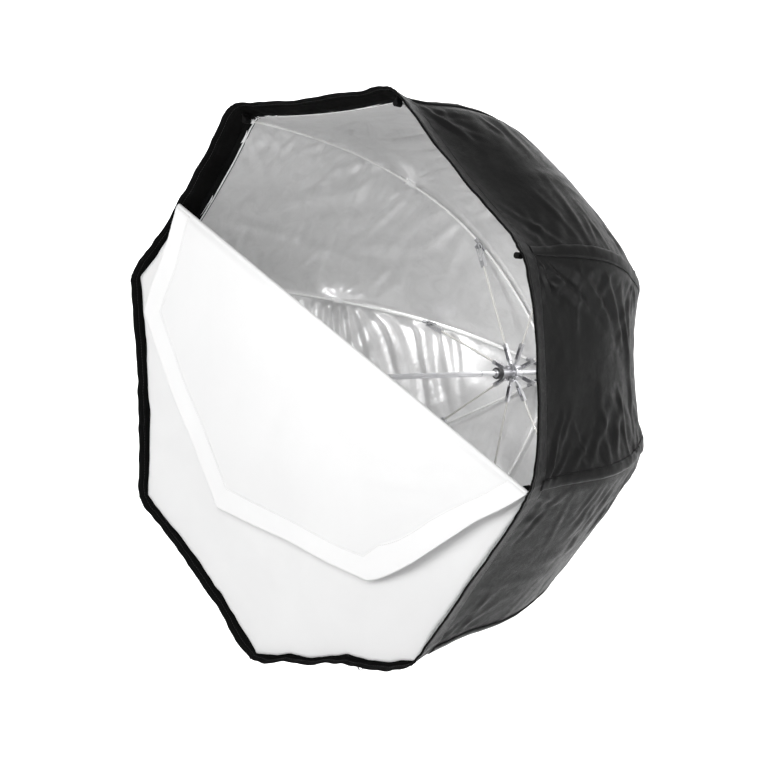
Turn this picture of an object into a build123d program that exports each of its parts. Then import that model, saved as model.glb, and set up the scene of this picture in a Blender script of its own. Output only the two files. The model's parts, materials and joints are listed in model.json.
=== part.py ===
from build123d import *
import os
import math

# Umbrella-type octabox, 800 mm across the flats, with a folding frame of eight ribs.
# Millimetres, +Z up. The box's axis is the Y axis: the opening looks toward -Y and the
# crown is at the +Y end. Y = 0 is the place on the shaft where a flash bracket is clamped.
# Pieces that repeat around the axis are drawn in the +X half plane, where x is the
# distance from the axis, and then turned to their angle. "Depth" is measured along +Y
# from the opening's front edge.

# ------------------------------------------------------------- driving sizes
SIDES = 8
HALF = math.pi / SIDES                    # half the angle of one side
TO_FLAT = math.cos(HALF)                  # circumradius to distance of the flat
PITCH = 360.0 / SIDES
RIB_ANGLES = [PITCH / 2 + PITCH * k for k in range(SIDES)]
BOTTOM = 270.0                            # angle of the bottom gore
FIT = 0.01                                # radial clearance of fixed joints

FRONT_R = 433.0                           # circumradius of the opening's front edge
FRONT_Y = -230.0
LIP_DEPTH = 42.0                          # front edge to cover seam
LIP_SEAM_R = 415.5                        # circumradius at the cover seam

SHAFT_R = 4.0
SHAFT_BORE_R = 3.2
SHAFT_Y0 = FRONT_Y + 60.0
SHAFT_Y1 = FRONT_Y + 497.0

HINGE_R = 10.0                            # hinge pins, distance from the axis
EYE_R = 2.8                               # flat eyes on the hinge pins
EYE_T = 3.2
PIN_R = 1.0
PIN_HOLE_R = PIN_R + 0.03
PIN_L = 7.0
CROWN_DEPTH = 479.0
CROWN_Y = FRONT_Y + CROWN_DEPTH           # hinge plane of the crown
RUNNER_Y = FRONT_Y + 394.0                # hinge plane of the runner, frame open

# rib centre line (distance from the axis, depth), joined by tangent arcs
RIB_LINE = [
    (HINGE_R, CROWN_DEPTH), (172.91, 436.11), (291.95, 334.69), (367.84, 183.86), (406.0, 20.0),
]
RIB_START_DEG = -3.658                    # direction of the line at the crown hinge
RIB_R = 2.0
JOINT_X = 205.71                          # stretcher joint, distance from the axis
JOINT_Y = FRONT_Y + 410.526
JOINT_DROP = 6.0                          # joint from the rib's centre line, inner side

os.makedirs("parts", exist_ok=True)


# ------------------------------------------------------------- helpers
def save(shape, name):
    export_step(shape, f"parts/{name}.step")


def group(solids):
    return Compound(children=list(solids))


def around(shape, angle):
    """Turn a piece drawn in the +X half plane to the given angle about the Y axis."""
    return Rot(0, -angle, 0) * shape


def at_ribs(shape):
    return group([around(shape, angle) for angle in RIB_ANGLES])


def box(x0, x1, y0, y1, z0, z1):
    return Pos((x0 + x1) / 2, (y0 + y1) / 2, (z0 + z1) / 2) * Box(x1 - x0, y1 - y0, z1 - z0)


def x_cyl(r, x0, x1):
    start = Plane(origin=(x0, 0, 0), z_dir=(1, 0, 0))
    return start * Cylinder(r, x1 - x0, align=(Align.CENTER, Align.CENTER, Align.MIN))


def y_cyl(r, y0, y1):
    return Plane(origin=(0, (y0 + y1) / 2, 0), z_dir=(0, 1, 0)) * Cylinder(r, y1 - y0)


def z_cyl(r, x, y, length):
    return Pos(x, y, 0) * Cylinder(r, length)


def polygon(*points):
    return make_face(Polyline(*points, close=True))


def circles(shape):
    return shape.edges().filter_by(GeomType.CIRCLE)


def heading(start, end):
    """Unit vector from one point to another."""
    dx, dy = end[0] - start[0], end[1] - start[1]
    length = math.hypot(dx, dy)
    return dx / length, dy / length


class ArcChain:
    """A chain of tangent arcs in the XY plane."""

    def __init__(self, points, start_deg):
        self.arcs = []                    # (start, centre, signed sweep, radius)
        angle = math.radians(start_deg)
        tx, ty = math.cos(angle), math.sin(angle)
        for start, end in zip(points, points[1:]):
            dx, dy = end[0] - start[0], end[1] - start[1]
            chord_sq = dx * dx + dy * dy
            curvature = 2 * (dy * tx - dx * ty) / chord_sq
            radius = 1 / curvature
            sweep = 2 * math.asin(math.sqrt(chord_sq) * curvature / 2)
            centre = (start[0] - ty * radius, start[1] + tx * radius)
            self.arcs.append((start, centre, sweep, abs(radius)))
            c, s = math.cos(sweep), math.sin(sweep)
            tx, ty = c * tx - s * ty, s * tx + c * ty
        self.length = sum(abs(sweep) * radius for _, _, sweep, radius in self.arcs)

    def at(self, distance):
        """Point and direction at a distance along the chain."""
        for i, (start, centre, sweep, radius) in enumerate(self.arcs):
            arc_length = abs(sweep) * radius
            if distance <= arc_length or i == len(self.arcs) - 1:
                angle = sweep * distance / arc_length
                c, s = math.cos(angle), math.sin(angle)
                dx, dy = start[0] - centre[0], start[1] - centre[1]
                dx, dy = c * dx - s * dy, s * dx + c * dy
                sign = 1 if sweep > 0 else -1
                direction = (-dy / radius * sign, dx / radius * sign)
                return (centre[0] + dx, centre[1] + dy), direction
            distance -= arc_length

    def frame(self, distance):
        """Location with local x along the chain and local y toward the cover."""
        (x, y), (dx, dy) = self.at(distance)
        return Pos(x, y, 0) * Rot(0, 0, math.degrees(math.atan2(dy, dx)))

    def rod(self, rod_r, begin, end):
        """Round rod between two distances along the chain."""
        solid = None
        arc_begin = 0.0
        for _, centre, sweep, radius in self.arcs:
            arc_end = arc_begin + abs(sweep) * radius
            a, b = max(begin, arc_begin), min(end, arc_end)
            if b - a > 1e-6:
                (x, y), (dx, dy) = self.at(a + 1e-9)
                face = Plane(origin=(x, y, 0), z_dir=(dx, dy, 0)) * Circle(rod_r)
                axis = Axis((centre[0], centre[1], 0), (0, 0, 1 if sweep > 0 else -1))
                piece = revolve(face, axis=axis, revolution_arc=math.degrees((b - a) / radius))
                solid = piece if solid is None else solid + piece
            arc_begin = arc_end
        return solid


rib = ArcChain([(x, depth + FRONT_Y) for x, depth in RIB_LINE], RIB_START_DEG)

# ------------------------------------------------------------- shaft
GROOVE_Y = FRONT_Y + 325.0
GROOVE_W = 2.0
GROOVE_D = 0.3
PLUG_HEAD_R = 3.5
PLUG_HEAD_L = 4.0
PLUG_STEM_L = 12.0


def shaft_tube():
    tube = y_cyl(SHAFT_R, SHAFT_Y0, SHAFT_Y1) - y_cyl(SHAFT_BORE_R, SHAFT_Y0 - 1, SHAFT_Y1 + 1)
    groove = y_cyl(SHAFT_R + 1, GROOVE_Y - GROOVE_W / 2, GROOVE_Y + GROOVE_W / 2)
    groove -= y_cyl(SHAFT_R - GROOVE_D, GROOVE_Y - GROOVE_W, GROOVE_Y + GROOVE_W)
    return tube - groove


def shaft_plug():
    plug = y_cyl(PLUG_HEAD_R, SHAFT_Y0 - PLUG_HEAD_L, SHAFT_Y0)
    plug += y_cyl(SHAFT_BORE_R - FIT, SHAFT_Y0, SHAFT_Y0 + PLUG_STEM_L)
    return fillet(circles(plug).sort_by(Axis.Y)[0], 1.5)


save(shaft_tube(), "shaft_tube")
save(shaft_plug(), "shaft_plug")

# ------------------------------------------------------------- crown and runner
CROWN_R = 14.0
RUNNER_R = 13.5
HUB_SLOT_R = 7.0                          # floor of the hinge slots
HUB_SLOT_W = 3.6
CAP_Y = FRONT_Y + 491.0
CAP_FLANGE_R = 18.0
CAP_FLANGE_T = 2.5
CAP_R = 8.0
CAP_H = 13.0
SLEEVE_R = 6.0
SLEEVE_Y0 = RUNNER_Y - 37
SLEEVE_Y1 = RUNNER_Y + 9
SLIDE_CLEAR = 0.05
COLLAR_R = 8.6
COLLAR_L = 10.0


def hub(outer_r, bore_r, hinge_y, ends, slot_ends):
    """Ring with eight hinge slots and pin holes; ends are measured from the hinge plane."""
    y0, y1 = [hinge_y + end for end in ends]
    slot_y0, slot_y1 = [hinge_y + end for end in slot_ends]
    slot = box(HUB_SLOT_R, outer_r + 2, slot_y0, slot_y1, -HUB_SLOT_W / 2, HUB_SLOT_W / 2)
    pin_hole = z_cyl(PIN_HOLE_R, HINGE_R, hinge_y, PIN_L + 0.2)
    body = y_cyl(outer_r, y0, y1)
    for angle in RIB_ANGLES:
        body -= around(slot, angle)
        body -= around(pin_hole, angle)
    return body - y_cyl(bore_r, y0 - 1, y1 + 1)


def hub_pins(hinge_y):
    return at_ribs(z_cyl(PIN_R, HINGE_R, hinge_y, PIN_L))


def apex_cap():
    cap = y_cyl(CAP_FLANGE_R, CAP_Y, CAP_Y + CAP_FLANGE_T) + y_cyl(CAP_R, CAP_Y, CAP_Y + CAP_H)
    cap = fillet(circles(cap).sort_by(Axis.Y)[-1], 3.0)
    return cap - y_cyl(SHAFT_R + FIT, CAP_Y - 1, SHAFT_Y1 + 0.5)


def runner_hub():
    ring = hub(RUNNER_R, 5.5, RUNNER_Y, ends=(-6, 6), slot_ends=(-7, 7))
    sleeve = y_cyl(SLEEVE_R, SLEEVE_Y0, SLEEVE_Y1)
    sleeve -= y_cyl(SHAFT_R + SLIDE_CLEAR, SLEEVE_Y0 - 3, SLEEVE_Y1 + 3)
    return ring + sleeve


def runner_collar():
    """Rounded collar on the front end of the runner's sleeve."""
    collar = y_cyl(COLLAR_R, SLEEVE_Y0, SLEEVE_Y0 + COLLAR_L)
    collar = fillet(circles(collar), 1.5)
    return collar - y_cyl(SLEEVE_R + FIT, SLEEVE_Y0 - 3, SLEEVE_Y0 + COLLAR_L + 7)


save(hub(CROWN_R, SHAFT_R + FIT, CROWN_Y, ends=(-7, 9), slot_ends=(-8, 4)), "crown")
save(hub_pins(CROWN_Y), "crown_pins")
save(apex_cap(), "apex_cap")
save(runner_hub(), "runner_hub")
save(hub_pins(RUNNER_Y), "runner_pins")
save(runner_collar(), "runner_collar")

# ------------------------------------------------------------- ribs
# distances along the rib, from the crown hinge
ROD_BEGIN = 14.2
ROD_END = rib.length - 2.0
SOCKET_BEGIN = 11.0
SOCKET_END = 42.0
TIP_L = 16.0

SOCKET_R = 3.0
NECK_L = 14.0
NECK_W = 4.0
JOINT_SLEEVE_R = 2.6
JOINT_SLEEVE_HALF = 11.0
LUG_R = 4.0
LUG_T = 2.8
JOINT_PIN_R = 1.3
JOINT_PIN_L = 3.6
TIP_R = 3.1


def joint_miss(distance):
    """How far a place on the rib is from standing JOINT_DROP off the stretcher joint."""
    x, y = rib.at(distance)[0]
    return abs(math.hypot(x - JOINT_X, y - JOINT_Y) - JOINT_DROP)


def rib_root():
    """Hinge eye and neck with the socket that holds the rod."""
    eye = z_cyl(EYE_R, HINGE_R, CROWN_Y, EYE_T)
    neck = rib.frame(0.0) * box(0, NECK_L, -NECK_W / 2, NECK_W / 2, -EYE_T / 2, EYE_T / 2)
    root = eye + neck + rib.rod(SOCKET_R, SOCKET_BEGIN, SOCKET_END)
    root -= rib.rod(RIB_R + FIT, ROD_BEGIN, SOCKET_END + 1)
    return root - z_cyl(PIN_HOLE_R, HINGE_R, CROWN_Y, EYE_T + 2)


def rib_joint():
    """Sleeve around the rod, with a lug and pin on the inner side for the stretcher."""
    middle = min([i * 0.25 for i in range(720, 1080)], key=joint_miss)
    begin, end = middle - JOINT_SLEEVE_HALF, middle + JOINT_SLEEVE_HALF
    lug = rib.frame(middle) * box(-4, 4, -JOINT_DROP, 0, -LUG_T / 2, LUG_T / 2)
    lug += z_cyl(LUG_R, JOINT_X, JOINT_Y, LUG_T)
    sleeve = rib.rod(JOINT_SLEEVE_R, begin, end) + lug
    sleeve -= rib.rod(RIB_R + FIT, begin - 1, end + 1)
    return sleeve + z_cyl(JOINT_PIN_R, JOINT_X, JOINT_Y, JOINT_PIN_L)


def rib_tip():
    tip = rib.rod(TIP_R, rib.length - TIP_L, rib.length)
    return tip - rib.rod(RIB_R + FIT, rib.length - TIP_L - 1, ROD_END)


# ------------------------------------------------------------- stretchers
# drawn along local x, from the runner hinge at 0 to the rib joint at STRETCH_L
STRETCH_L = math.hypot(JOINT_X - HINGE_R, JOINT_Y - RUNNER_Y)
STRETCH_DEG = math.degrees(math.atan2(JOINT_Y - RUNNER_Y, JOINT_X - HINGE_R))
STRETCH_PLACE = Pos(HINGE_R, RUNNER_Y, 0) * Rot(0, 0, STRETCH_DEG)
STRETCH_R = 1.6
BORE_INSET = 28.0                         # floor of each rod bore, from the hinge or joint
ROD_INSET = BORE_INSET + 0.2
CHEEK_IN = 2.85                           # fork cheeks, distances from the middle plane
CHEEK_OUT = 3.85
FORK_HALF_W = 2.6
FORK_EYE_R = 4.0
FORK_SLOT_L = 14.0
FORK_SLOT_R = 1.5


def stretcher_arm():
    """Runner end: flat eye and neck, then a hollowed block with the rod's bore."""
    arm = z_cyl(EYE_R, 0, 0, EYE_T)
    arm += box(0, 12, -1.9, 1.9, -EYE_T / 2, EYE_T / 2)
    arm += box(9.5, 36, -2.4, 2.4, -3.0, 3.0)
    arm -= box(12.5, 27, -3.0, 1.5, -2.2, 2.2)
    arm -= z_cyl(PIN_HOLE_R, 0, 0, EYE_T + 2)
    return arm - x_cyl(STRETCH_R + FIT, BORE_INSET, BORE_INSET + 20)


def stretcher_fork():
    """Rib end: block with two slotted cheeks that straddle the joint's lug."""
    end = STRETCH_L
    cheek_mid = (CHEEK_IN + CHEEK_OUT) / 2
    cheek_t = CHEEK_OUT - CHEEK_IN
    fork = box(end - 34, end - 24, -FORK_HALF_W, FORK_HALF_W, -CHEEK_OUT, CHEEK_OUT)
    fork += box(end - 26, end, -FORK_HALF_W, FORK_HALF_W, CHEEK_IN, CHEEK_OUT)
    fork += box(end - 26, end, -FORK_HALF_W, FORK_HALF_W, -CHEEK_OUT, -CHEEK_IN)
    fork += Pos(end, 0, cheek_mid) * Cylinder(FORK_EYE_R, cheek_t)
    fork += Pos(end, 0, -cheek_mid) * Cylinder(FORK_EYE_R, cheek_t)
    slot = box(end - FORK_SLOT_L, end, -FORK_SLOT_R, FORK_SLOT_R, -6, 6)
    slot += z_cyl(FORK_SLOT_R, end - FORK_SLOT_L, 0, 12)
    slot += z_cyl(FORK_SLOT_R, end, 0, 12)
    fork -= slot
    return fork - x_cyl(STRETCH_R + FIT, end - 35, end - BORE_INSET)


def save_frame():
    """Write the eight ribs and stretchers."""
    rib_rod = rib.rod(RIB_R, ROD_BEGIN, ROD_END)
    root, joint, tip = rib_root(), rib_joint(), rib_tip()
    stretcher_rod = STRETCH_PLACE * x_cyl(STRETCH_R, ROD_INSET, STRETCH_L - ROD_INSET)
    arm = STRETCH_PLACE * stretcher_arm()
    fork = STRETCH_PLACE * stretcher_fork()
    for n, angle in enumerate(RIB_ANGLES, start=1):
        save(around(rib_rod, angle), f"rib_{n}_rod")
        save(group([around(root, angle), around(joint, angle)]), f"rib_{n}_steel")
        save(around(tip, angle), f"rib_{n}_tip")
        save(around(stretcher_rod, angle), f"stretcher_{n}_rod")
        save(group([around(arm, angle), around(fork, angle)]), f"stretcher_{n}_ends")


save_frame()

# ------------------------------------------------------------- cover, lip, tape
# cover's outer corner line (circumradius, depth); straight from the last point to the seam
COVER_LINE = [
    (14.0, 489.6), (64.4, 484.6), (130.1, 470.9), (185.8, 450.0), (241.0, 416.6),
    (294.5, 369.6), (335.6, 313.8), (366.5, 248.5), (383.1, 197.4),
]
COVER_T = 1.2
LIP_T = 1.6
TAPE_T = 0.8
TAPE_GAP = 0.05                           # between lip band and tape
TAPE_BACK = (7, 35)                       # tape's edges, back from the front edge
GORE_GAP = 0.05                           # from each gore to the rib planes beside it

# the same lines in the middle plane of a flat, as (x, y)
FLAT_LINE = [(r * TO_FLAT, depth + FRONT_Y) for r, depth in COVER_LINE]
SEAM = (LIP_SEAM_R * TO_FLAT, FRONT_Y + LIP_DEPTH)
FRONT = (FRONT_R * TO_FLAT, FRONT_Y)
COVER_RUN = heading(FLAT_LINE[-1], SEAM)
LIP_RUN = heading(SEAM, FRONT)


def beside(end, run, back, out):
    """Point a distance back from the end of a straight run and outward from it."""
    return (end[0] - run[0] * back - run[1] * out, end[1] - run[1] * back + run[0] * out)


def across(face, half=230.0):
    return extrude(face, half, both=True)


def save_gores(strip, name):
    """Cut a strip to the space between two rib planes and repeat it on every side."""
    near = GORE_GAP / math.sin(HALF)
    far = 520.0
    half_w = (far - near) * math.tan(HALF)
    base = Plane(origin=(0, FRONT_Y - 10, 0), x_dir=(1, 0, 0), z_dir=(0, 1, 0))
    wedge = extrude(base * polygon((near, 0), (far, half_w), (far, -half_w)), 560)
    gore = wedge & strip
    save(group([around(gore, PITCH * k) for k in range(SIDES)]), name)


def cover_offset(out):
    """The cover's flat line moved outward."""
    moved = []
    for i, (x, y) in enumerate(FLAT_LINE[:-1]):
        dx, dy = heading(FLAT_LINE[max(i - 1, 0)], FLAT_LINE[i + 1])
        moved.append((x - dy * out, y + dx * out))
    return moved + [beside(FLAT_LINE[-1], COVER_RUN, 0, out)]


def cover_strip(out0, out1, back):
    """Section along the cover between two offsets, ending back from the seam."""
    low, high = cover_offset(out0), cover_offset(out1)
    low_end = beside(SEAM, COVER_RUN, back, out0)
    high_end = beside(SEAM, COVER_RUN, back, out1)
    low_curve, high_curve = [
        Spline(*line, tangents=((line[1][0] - line[0][0], line[1][1] - line[0][1]), COVER_RUN))
        for line in (low, high)
    ]
    return make_face([low_curve, Line(low[-1], low_end), Line(low_end, high_end),
                      Line(high_end, high[-1]), high_curve, Line(high[0], low[0])])


def lip_strip(back0, back1, out0, out1):
    """Section along the lip, between two distances back from the front edge."""
    corners = [(back0, out0), (back1, out0), (back1, out1), (back0, out1)]
    return polygon(*[beside(FRONT, LIP_RUN, back, out) for back, out in corners])


lip_length = math.hypot(FRONT[0] - SEAM[0], FRONT[1] - SEAM[1])
tape_out = -LIP_T - TAPE_GAP
save_gores(across(cover_strip(-COVER_T, 0.0, back=0.1)), "cover")
save_gores(across(lip_strip(0, lip_length, 0, -LIP_T)), "lip_band")
save_gores(across(lip_strip(*TAPE_BACK, tape_out, tape_out - TAPE_T)), "loop_tape")

# ------------------------------------------------------------- tip pockets and rib ties
POCKET_R = 4.6
POCKET_BORE_R = 3.3
POCKET_BACK = -12.0                       # open end, from the rib's end
TIE_R = 3.3
TIE_BORE_R = 2.3
TIE_HALF = 6.0
TIE_X = 307.0                             # distance from the axis
TIE_REACH = 22.8                          # outer edge of the web, from the rib's line


def tip_pocket():
    """Cup over the rib's tip, with a web toward the corner of the lip."""
    pocket = x_cyl(POCKET_R, POCKET_BACK, 2.0)
    pocket += box(POCKET_BACK, 0.5, 2.0, 11.0, -0.8, 0.8)
    pocket -= x_cyl(POCKET_BORE_R, POCKET_BACK, 0.4)
    return rib.frame(rib.length) * pocket


def rib_tie():
    """Loop and web that hold the rib to the lining."""
    place = min([i * 0.5 for i in range(600, 1000)], key=lambda d: abs(rib.at(d)[0][0] - TIE_X))
    tie = x_cyl(TIE_R, -TIE_HALF, TIE_HALF)
    tie += box(-TIE_HALF, TIE_HALF, 2.0, TIE_REACH, -0.7, 0.7)
    tie -= x_cyl(TIE_BORE_R, -TIE_HALF - 1, TIE_HALF + 1)
    return rib.frame(place) * tie


save(at_ribs(tip_pocket()), "tip_pockets")
save(at_ribs(rib_tie()), "rib_ties")

# ------------------------------------------------------------- diffuser
# The upper right part, seen from the front, is folded down over the rest.
RIM_R = 423.5                             # circumradius of the diffuser's edge
DIFF_T = 0.9
FOLD_Y = FRONT_Y + 9.2
LAYER_OFFSET = 3.2                        # middle of each layer from FOLD_Y
FOLD_INSET = 0.6                          # layers' edges from the fold line


def rim_corner(degrees):
    angle = math.radians(degrees)
    return (RIM_R * math.cos(angle), RIM_R * math.sin(angle))


FOLD_ENDS = [(-292.8, 260.5), rim_corner(337.5)]    # (x, z)
FOLD_DX, FOLD_DZ = heading(*FOLD_ENDS)
FOLD_NORMAL = (-FOLD_DZ, FOLD_DX)         # toward the open upper right


def along_normal(point, distance):
    return (point[0] + FOLD_NORMAL[0] * distance, point[1] + FOLD_NORMAL[1] * distance)


def folded(point):
    """Mirror image of a point in the fold line."""
    x, z = FOLD_ENDS[0]
    height = (point[0] - x) * FOLD_NORMAL[0] + (point[1] - z) * FOLD_NORMAL[1]
    return along_normal(point, -2 * height)


def diffuser_layer(corners, middle_y):
    """Flat sheet between the fold line and the given (x, z) corners."""
    fold_start, fold_end = [along_normal(end, -FOLD_INSET) for end in FOLD_ENDS]
    plane = Plane(origin=(0, middle_y - DIFF_T / 2, 0), x_dir=(1, 0, 0), z_dir=(0, 1, 0))
    # this plane's local y runs along -Z
    outline = polygon(*[(x, -z) for x, z in [fold_start, *corners, fold_end]])
    return extrude(plane * outline, DIFF_T)


panel_corners = [rim_corner(degrees) for degrees in (157.5, 202.5, 247.5, 292.5)]
flap_corners = [folded(rim_corner(degrees)) for degrees in (112.5, 67.5, 22.5)]
save(diffuser_layer(panel_corners, FOLD_Y + LAYER_OFFSET), "diffuser_panel")
save(diffuser_layer(flap_corners, FOLD_Y - LAYER_OFFSET), "diffuser_flap")

# ------------------------------------------------------------- zip in the bottom gore
ZIP_HALF_W = 12.0
TEETH_HALF_W = 2.5
ZIP_END_Y = FRONT_Y + 350                 # rear end of the zip
SLIDER_BACK = 20.0                        # slider's middle, back from the seam
PULL_PIN_Y = -7.0                         # in the slider's frame
PULL_PIN_R = 1.2
PULL_HALF_W = 3.2
PULL_HALF_T = 0.9
PULL_ARM_X = (-1.4, 12)
PULL_RING_X = 18.5
PULL_RING_R = 7.5
PULL_RING_HOLE_R = 5.2

# local x runs back along the zip, local y toward the inner side
SLIDER_PLACE = (Pos(*beside(SEAM, COVER_RUN, SLIDER_BACK, 0.0), 0)
                * Rot(0, 0, math.degrees(math.atan2(-COVER_RUN[1], -COVER_RUN[0]))))


def zip_tape():
    """Tape with its row of teeth as one raised strip."""
    tape = across(cover_strip(0.1, 0.9, back=3), ZIP_HALF_W)
    tape += across(cover_strip(0.85, 2.1, back=6), TEETH_HALF_W)
    far_y = FRONT_Y + 700
    return tape - across(polygon((0, ZIP_END_Y), (0, far_y), (600, far_y), (600, ZIP_END_Y)))


def zip_slider():
    slider = box(-8, 8, -4.6, -1.0, -5.5, 5.5) - box(-9, 9, -2.3, 0, -2.7, 2.7)
    slider += box(-4, 4, -9.2, -4.6, -1.2, 1.2)
    slider -= z_cyl(PULL_PIN_R + 0.05, 0, PULL_PIN_Y, 6)
    return SLIDER_PLACE * slider


def zip_pull():
    """Pin, two arms, bar and ring; local x is straight down once turned to the bottom."""
    pin = (SLIDER_PLACE * Pos(0, PULL_PIN_Y, 0)).position
    pull = Cylinder(PULL_PIN_R, 2 * PULL_HALF_W)
    for z0, z1 in [(1.6, PULL_HALF_W), (-PULL_HALF_W, -1.6)]:
        pull += box(*PULL_ARM_X, -PULL_HALF_T, PULL_HALF_T, z0, z1)
    pull += box(9.5, PULL_ARM_X[1], -PULL_HALF_T, PULL_HALF_T, -PULL_HALF_W, PULL_HALF_W)
    ring = Cylinder(PULL_RING_R, 2 * PULL_HALF_T) - Cylinder(PULL_RING_HOLE_R, 4)
    pull += Pos(PULL_RING_X, 0, 0) * (Rot(90, 0, 0) * ring)
    return Pos(pin.X, pin.Y, 0) * pull


save(around(zip_tape(), BOTTOM), "zip_tape")
save(around(zip_slider(), BOTTOM), "zip_slider")
save(around(zip_pull(), BOTTOM), "zip_pull")
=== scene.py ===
import json
import math

import bmesh
import bpy
import numpy as np
from mathutils import Matrix, Vector

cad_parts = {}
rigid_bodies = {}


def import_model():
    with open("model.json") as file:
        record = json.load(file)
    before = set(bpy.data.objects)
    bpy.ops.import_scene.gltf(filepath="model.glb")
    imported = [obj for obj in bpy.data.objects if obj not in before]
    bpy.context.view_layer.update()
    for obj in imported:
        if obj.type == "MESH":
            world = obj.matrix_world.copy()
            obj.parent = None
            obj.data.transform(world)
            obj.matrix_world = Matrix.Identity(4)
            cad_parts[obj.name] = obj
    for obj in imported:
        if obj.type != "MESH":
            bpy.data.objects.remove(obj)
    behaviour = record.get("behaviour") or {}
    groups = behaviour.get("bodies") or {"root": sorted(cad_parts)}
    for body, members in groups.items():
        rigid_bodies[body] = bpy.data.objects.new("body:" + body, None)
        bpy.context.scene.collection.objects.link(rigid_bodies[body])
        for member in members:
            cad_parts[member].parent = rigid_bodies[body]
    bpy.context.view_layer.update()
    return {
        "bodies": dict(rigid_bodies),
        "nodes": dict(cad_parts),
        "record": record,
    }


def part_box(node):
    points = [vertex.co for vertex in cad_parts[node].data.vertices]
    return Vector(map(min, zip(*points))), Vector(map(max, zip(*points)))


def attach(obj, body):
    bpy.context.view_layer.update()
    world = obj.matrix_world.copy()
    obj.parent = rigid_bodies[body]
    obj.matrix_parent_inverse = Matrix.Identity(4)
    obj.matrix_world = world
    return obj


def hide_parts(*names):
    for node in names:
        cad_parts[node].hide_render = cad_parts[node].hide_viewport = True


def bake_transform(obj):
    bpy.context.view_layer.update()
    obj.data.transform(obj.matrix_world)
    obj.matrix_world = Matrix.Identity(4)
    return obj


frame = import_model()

NODES = frame["nodes"]
MM = 0.001
scene = bpy.context.scene
coll = scene.collection

# ------------------------------------------------------------------ layout, millimetres
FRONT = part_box("lip_band")[0].y / MM              # front edge
LIP_DEPTH = 42.0
FRONT_R = (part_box("lip_band")[1].x / MM) / math.cos(math.radians(22.5))
SEAM_R = 415.5
N = 8
RA = [math.radians(22.5 + 45.0 * k) for k in range(N)]
HALF = math.radians(22.5)
NU = 96                                            # columns per gore
NC = N * NU
COVER_LINE = [(14.0, 489.6), (64.4, 484.6), (130.1, 470.9), (185.8, 450.0), (241.0, 416.6),
              (294.5, 369.6), (335.6, 313.8), (366.5, 248.5), (383.1, 197.4), (396.7, 119.0), (415.5, 42.0)]


def catmull(points, n):
    """Smooth line through points, resampled to n points at even spacing."""
    p = np.array(points, float)
    ext = np.vstack([2 * p[0] - p[1], p, 2 * p[-1] - p[-2]])
    t = np.concatenate([[0], np.cumsum(np.linalg.norm(np.diff(ext, axis=0), axis=1) ** 0.5)])
    out = []
    for i in range(1, len(ext) - 2):
        t0, t1, t2, t3 = t[i - 1:i + 3]
        for s in np.linspace(t1, t2, 40, endpoint=False):
            a1 = (t1 - s) / (t1 - t0) * ext[i - 1] + (s - t0) / (t1 - t0) * ext[i]
            a2 = (t2 - s) / (t2 - t1) * ext[i] + (s - t1) / (t2 - t1) * ext[i + 1]
            a3 = (t3 - s) / (t3 - t2) * ext[i + 1] + (s - t2) / (t3 - t2) * ext[i + 2]
            b1 = (t2 - s) / (t2 - t0) * a1 + (s - t0) / (t2 - t0) * a2
            b2 = (t3 - s) / (t3 - t1) * a2 + (s - t1) / (t3 - t1) * a3
            out.append((t2 - s) / (t2 - t1) * b1 + (s - t1) / (t2 - t1) * b2)
    out.append(ext[-2])
    out = np.array(out)
    d = np.concatenate([[0], np.cumsum(np.linalg.norm(np.diff(out, axis=0), axis=1))])
    s = np.linspace(0, d[-1], n)
    return np.stack([np.interp(s, d, out[:, 0]), np.interp(s, d, out[:, 1])], 1), s


def smooth(a, b, x):
    t = np.clip((x - a) / (b - a), 0, 1)
    return t * t * (3 - 2 * t)


# ring columns: gore index and place across the gore
COL_G = np.repeat(np.arange(N), NU)
COL_U = np.tile(np.arange(NU) / NU, N)
E = np.array([[math.cos(a), 0, math.sin(a)] for a in RA])
E0, E1 = E[COL_G], E[(COL_G + 1) % N]
EC = (E0 + E1) / np.linalg.norm(E0 + E1, axis=1)[:, None]
DIR = E0 * (1 - COL_U)[:, None] + E1 * COL_U[:, None]      # flat across each gore
CROWD = 4 * COL_U * (1 - COL_U)                            # 0 at the ribs, 1 mid gore

# how far each rim edge bows between its ribs: back (+Y) and inward, per gore
BOW_BACK = np.array([7.0, 5.0, 5.0, 4.0, 4.0, 0.0, 7.0, 29.0])
BOW_IN = np.array([9.0, 7.0, 7.0, 4.0, 4.0, 0.0, 6.0, 5.0])


def noise1(x, seed, scale):
    """Smooth one-dimensional noise, periodic in nothing, in -1..1."""
    r = np.random.RandomState(seed)
    k = r.uniform(-1, 1, 4096)
    x = np.asarray(x, float) / scale
    i = np.floor(x).astype(int)
    f = x - i
    f = f * f * (3 - 2 * f)
    return k[i % 4096] * (1 - f) + k[(i + 1) % 4096] * f


def noise2(x, y, seed, scale):
    r = np.random.RandomState(seed)
    k = r.uniform(-1, 1, (256, 256))
    x, y = np.asarray(x, float) / scale, np.asarray(y, float) / scale
    i, j = np.floor(x).astype(int), np.floor(y).astype(int)
    f, g = x - i, y - j
    f, g = f * f * (3 - 2 * f), g * g * (3 - 2 * g)
    a = k[i % 256, j % 256] * (1 - f) + k[(i + 1) % 256, j % 256] * f
    b = k[i % 256, (j + 1) % 256] * (1 - f) + k[(i + 1) % 256, (j + 1) % 256] * f
    return a * (1 - g) + b * g


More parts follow.
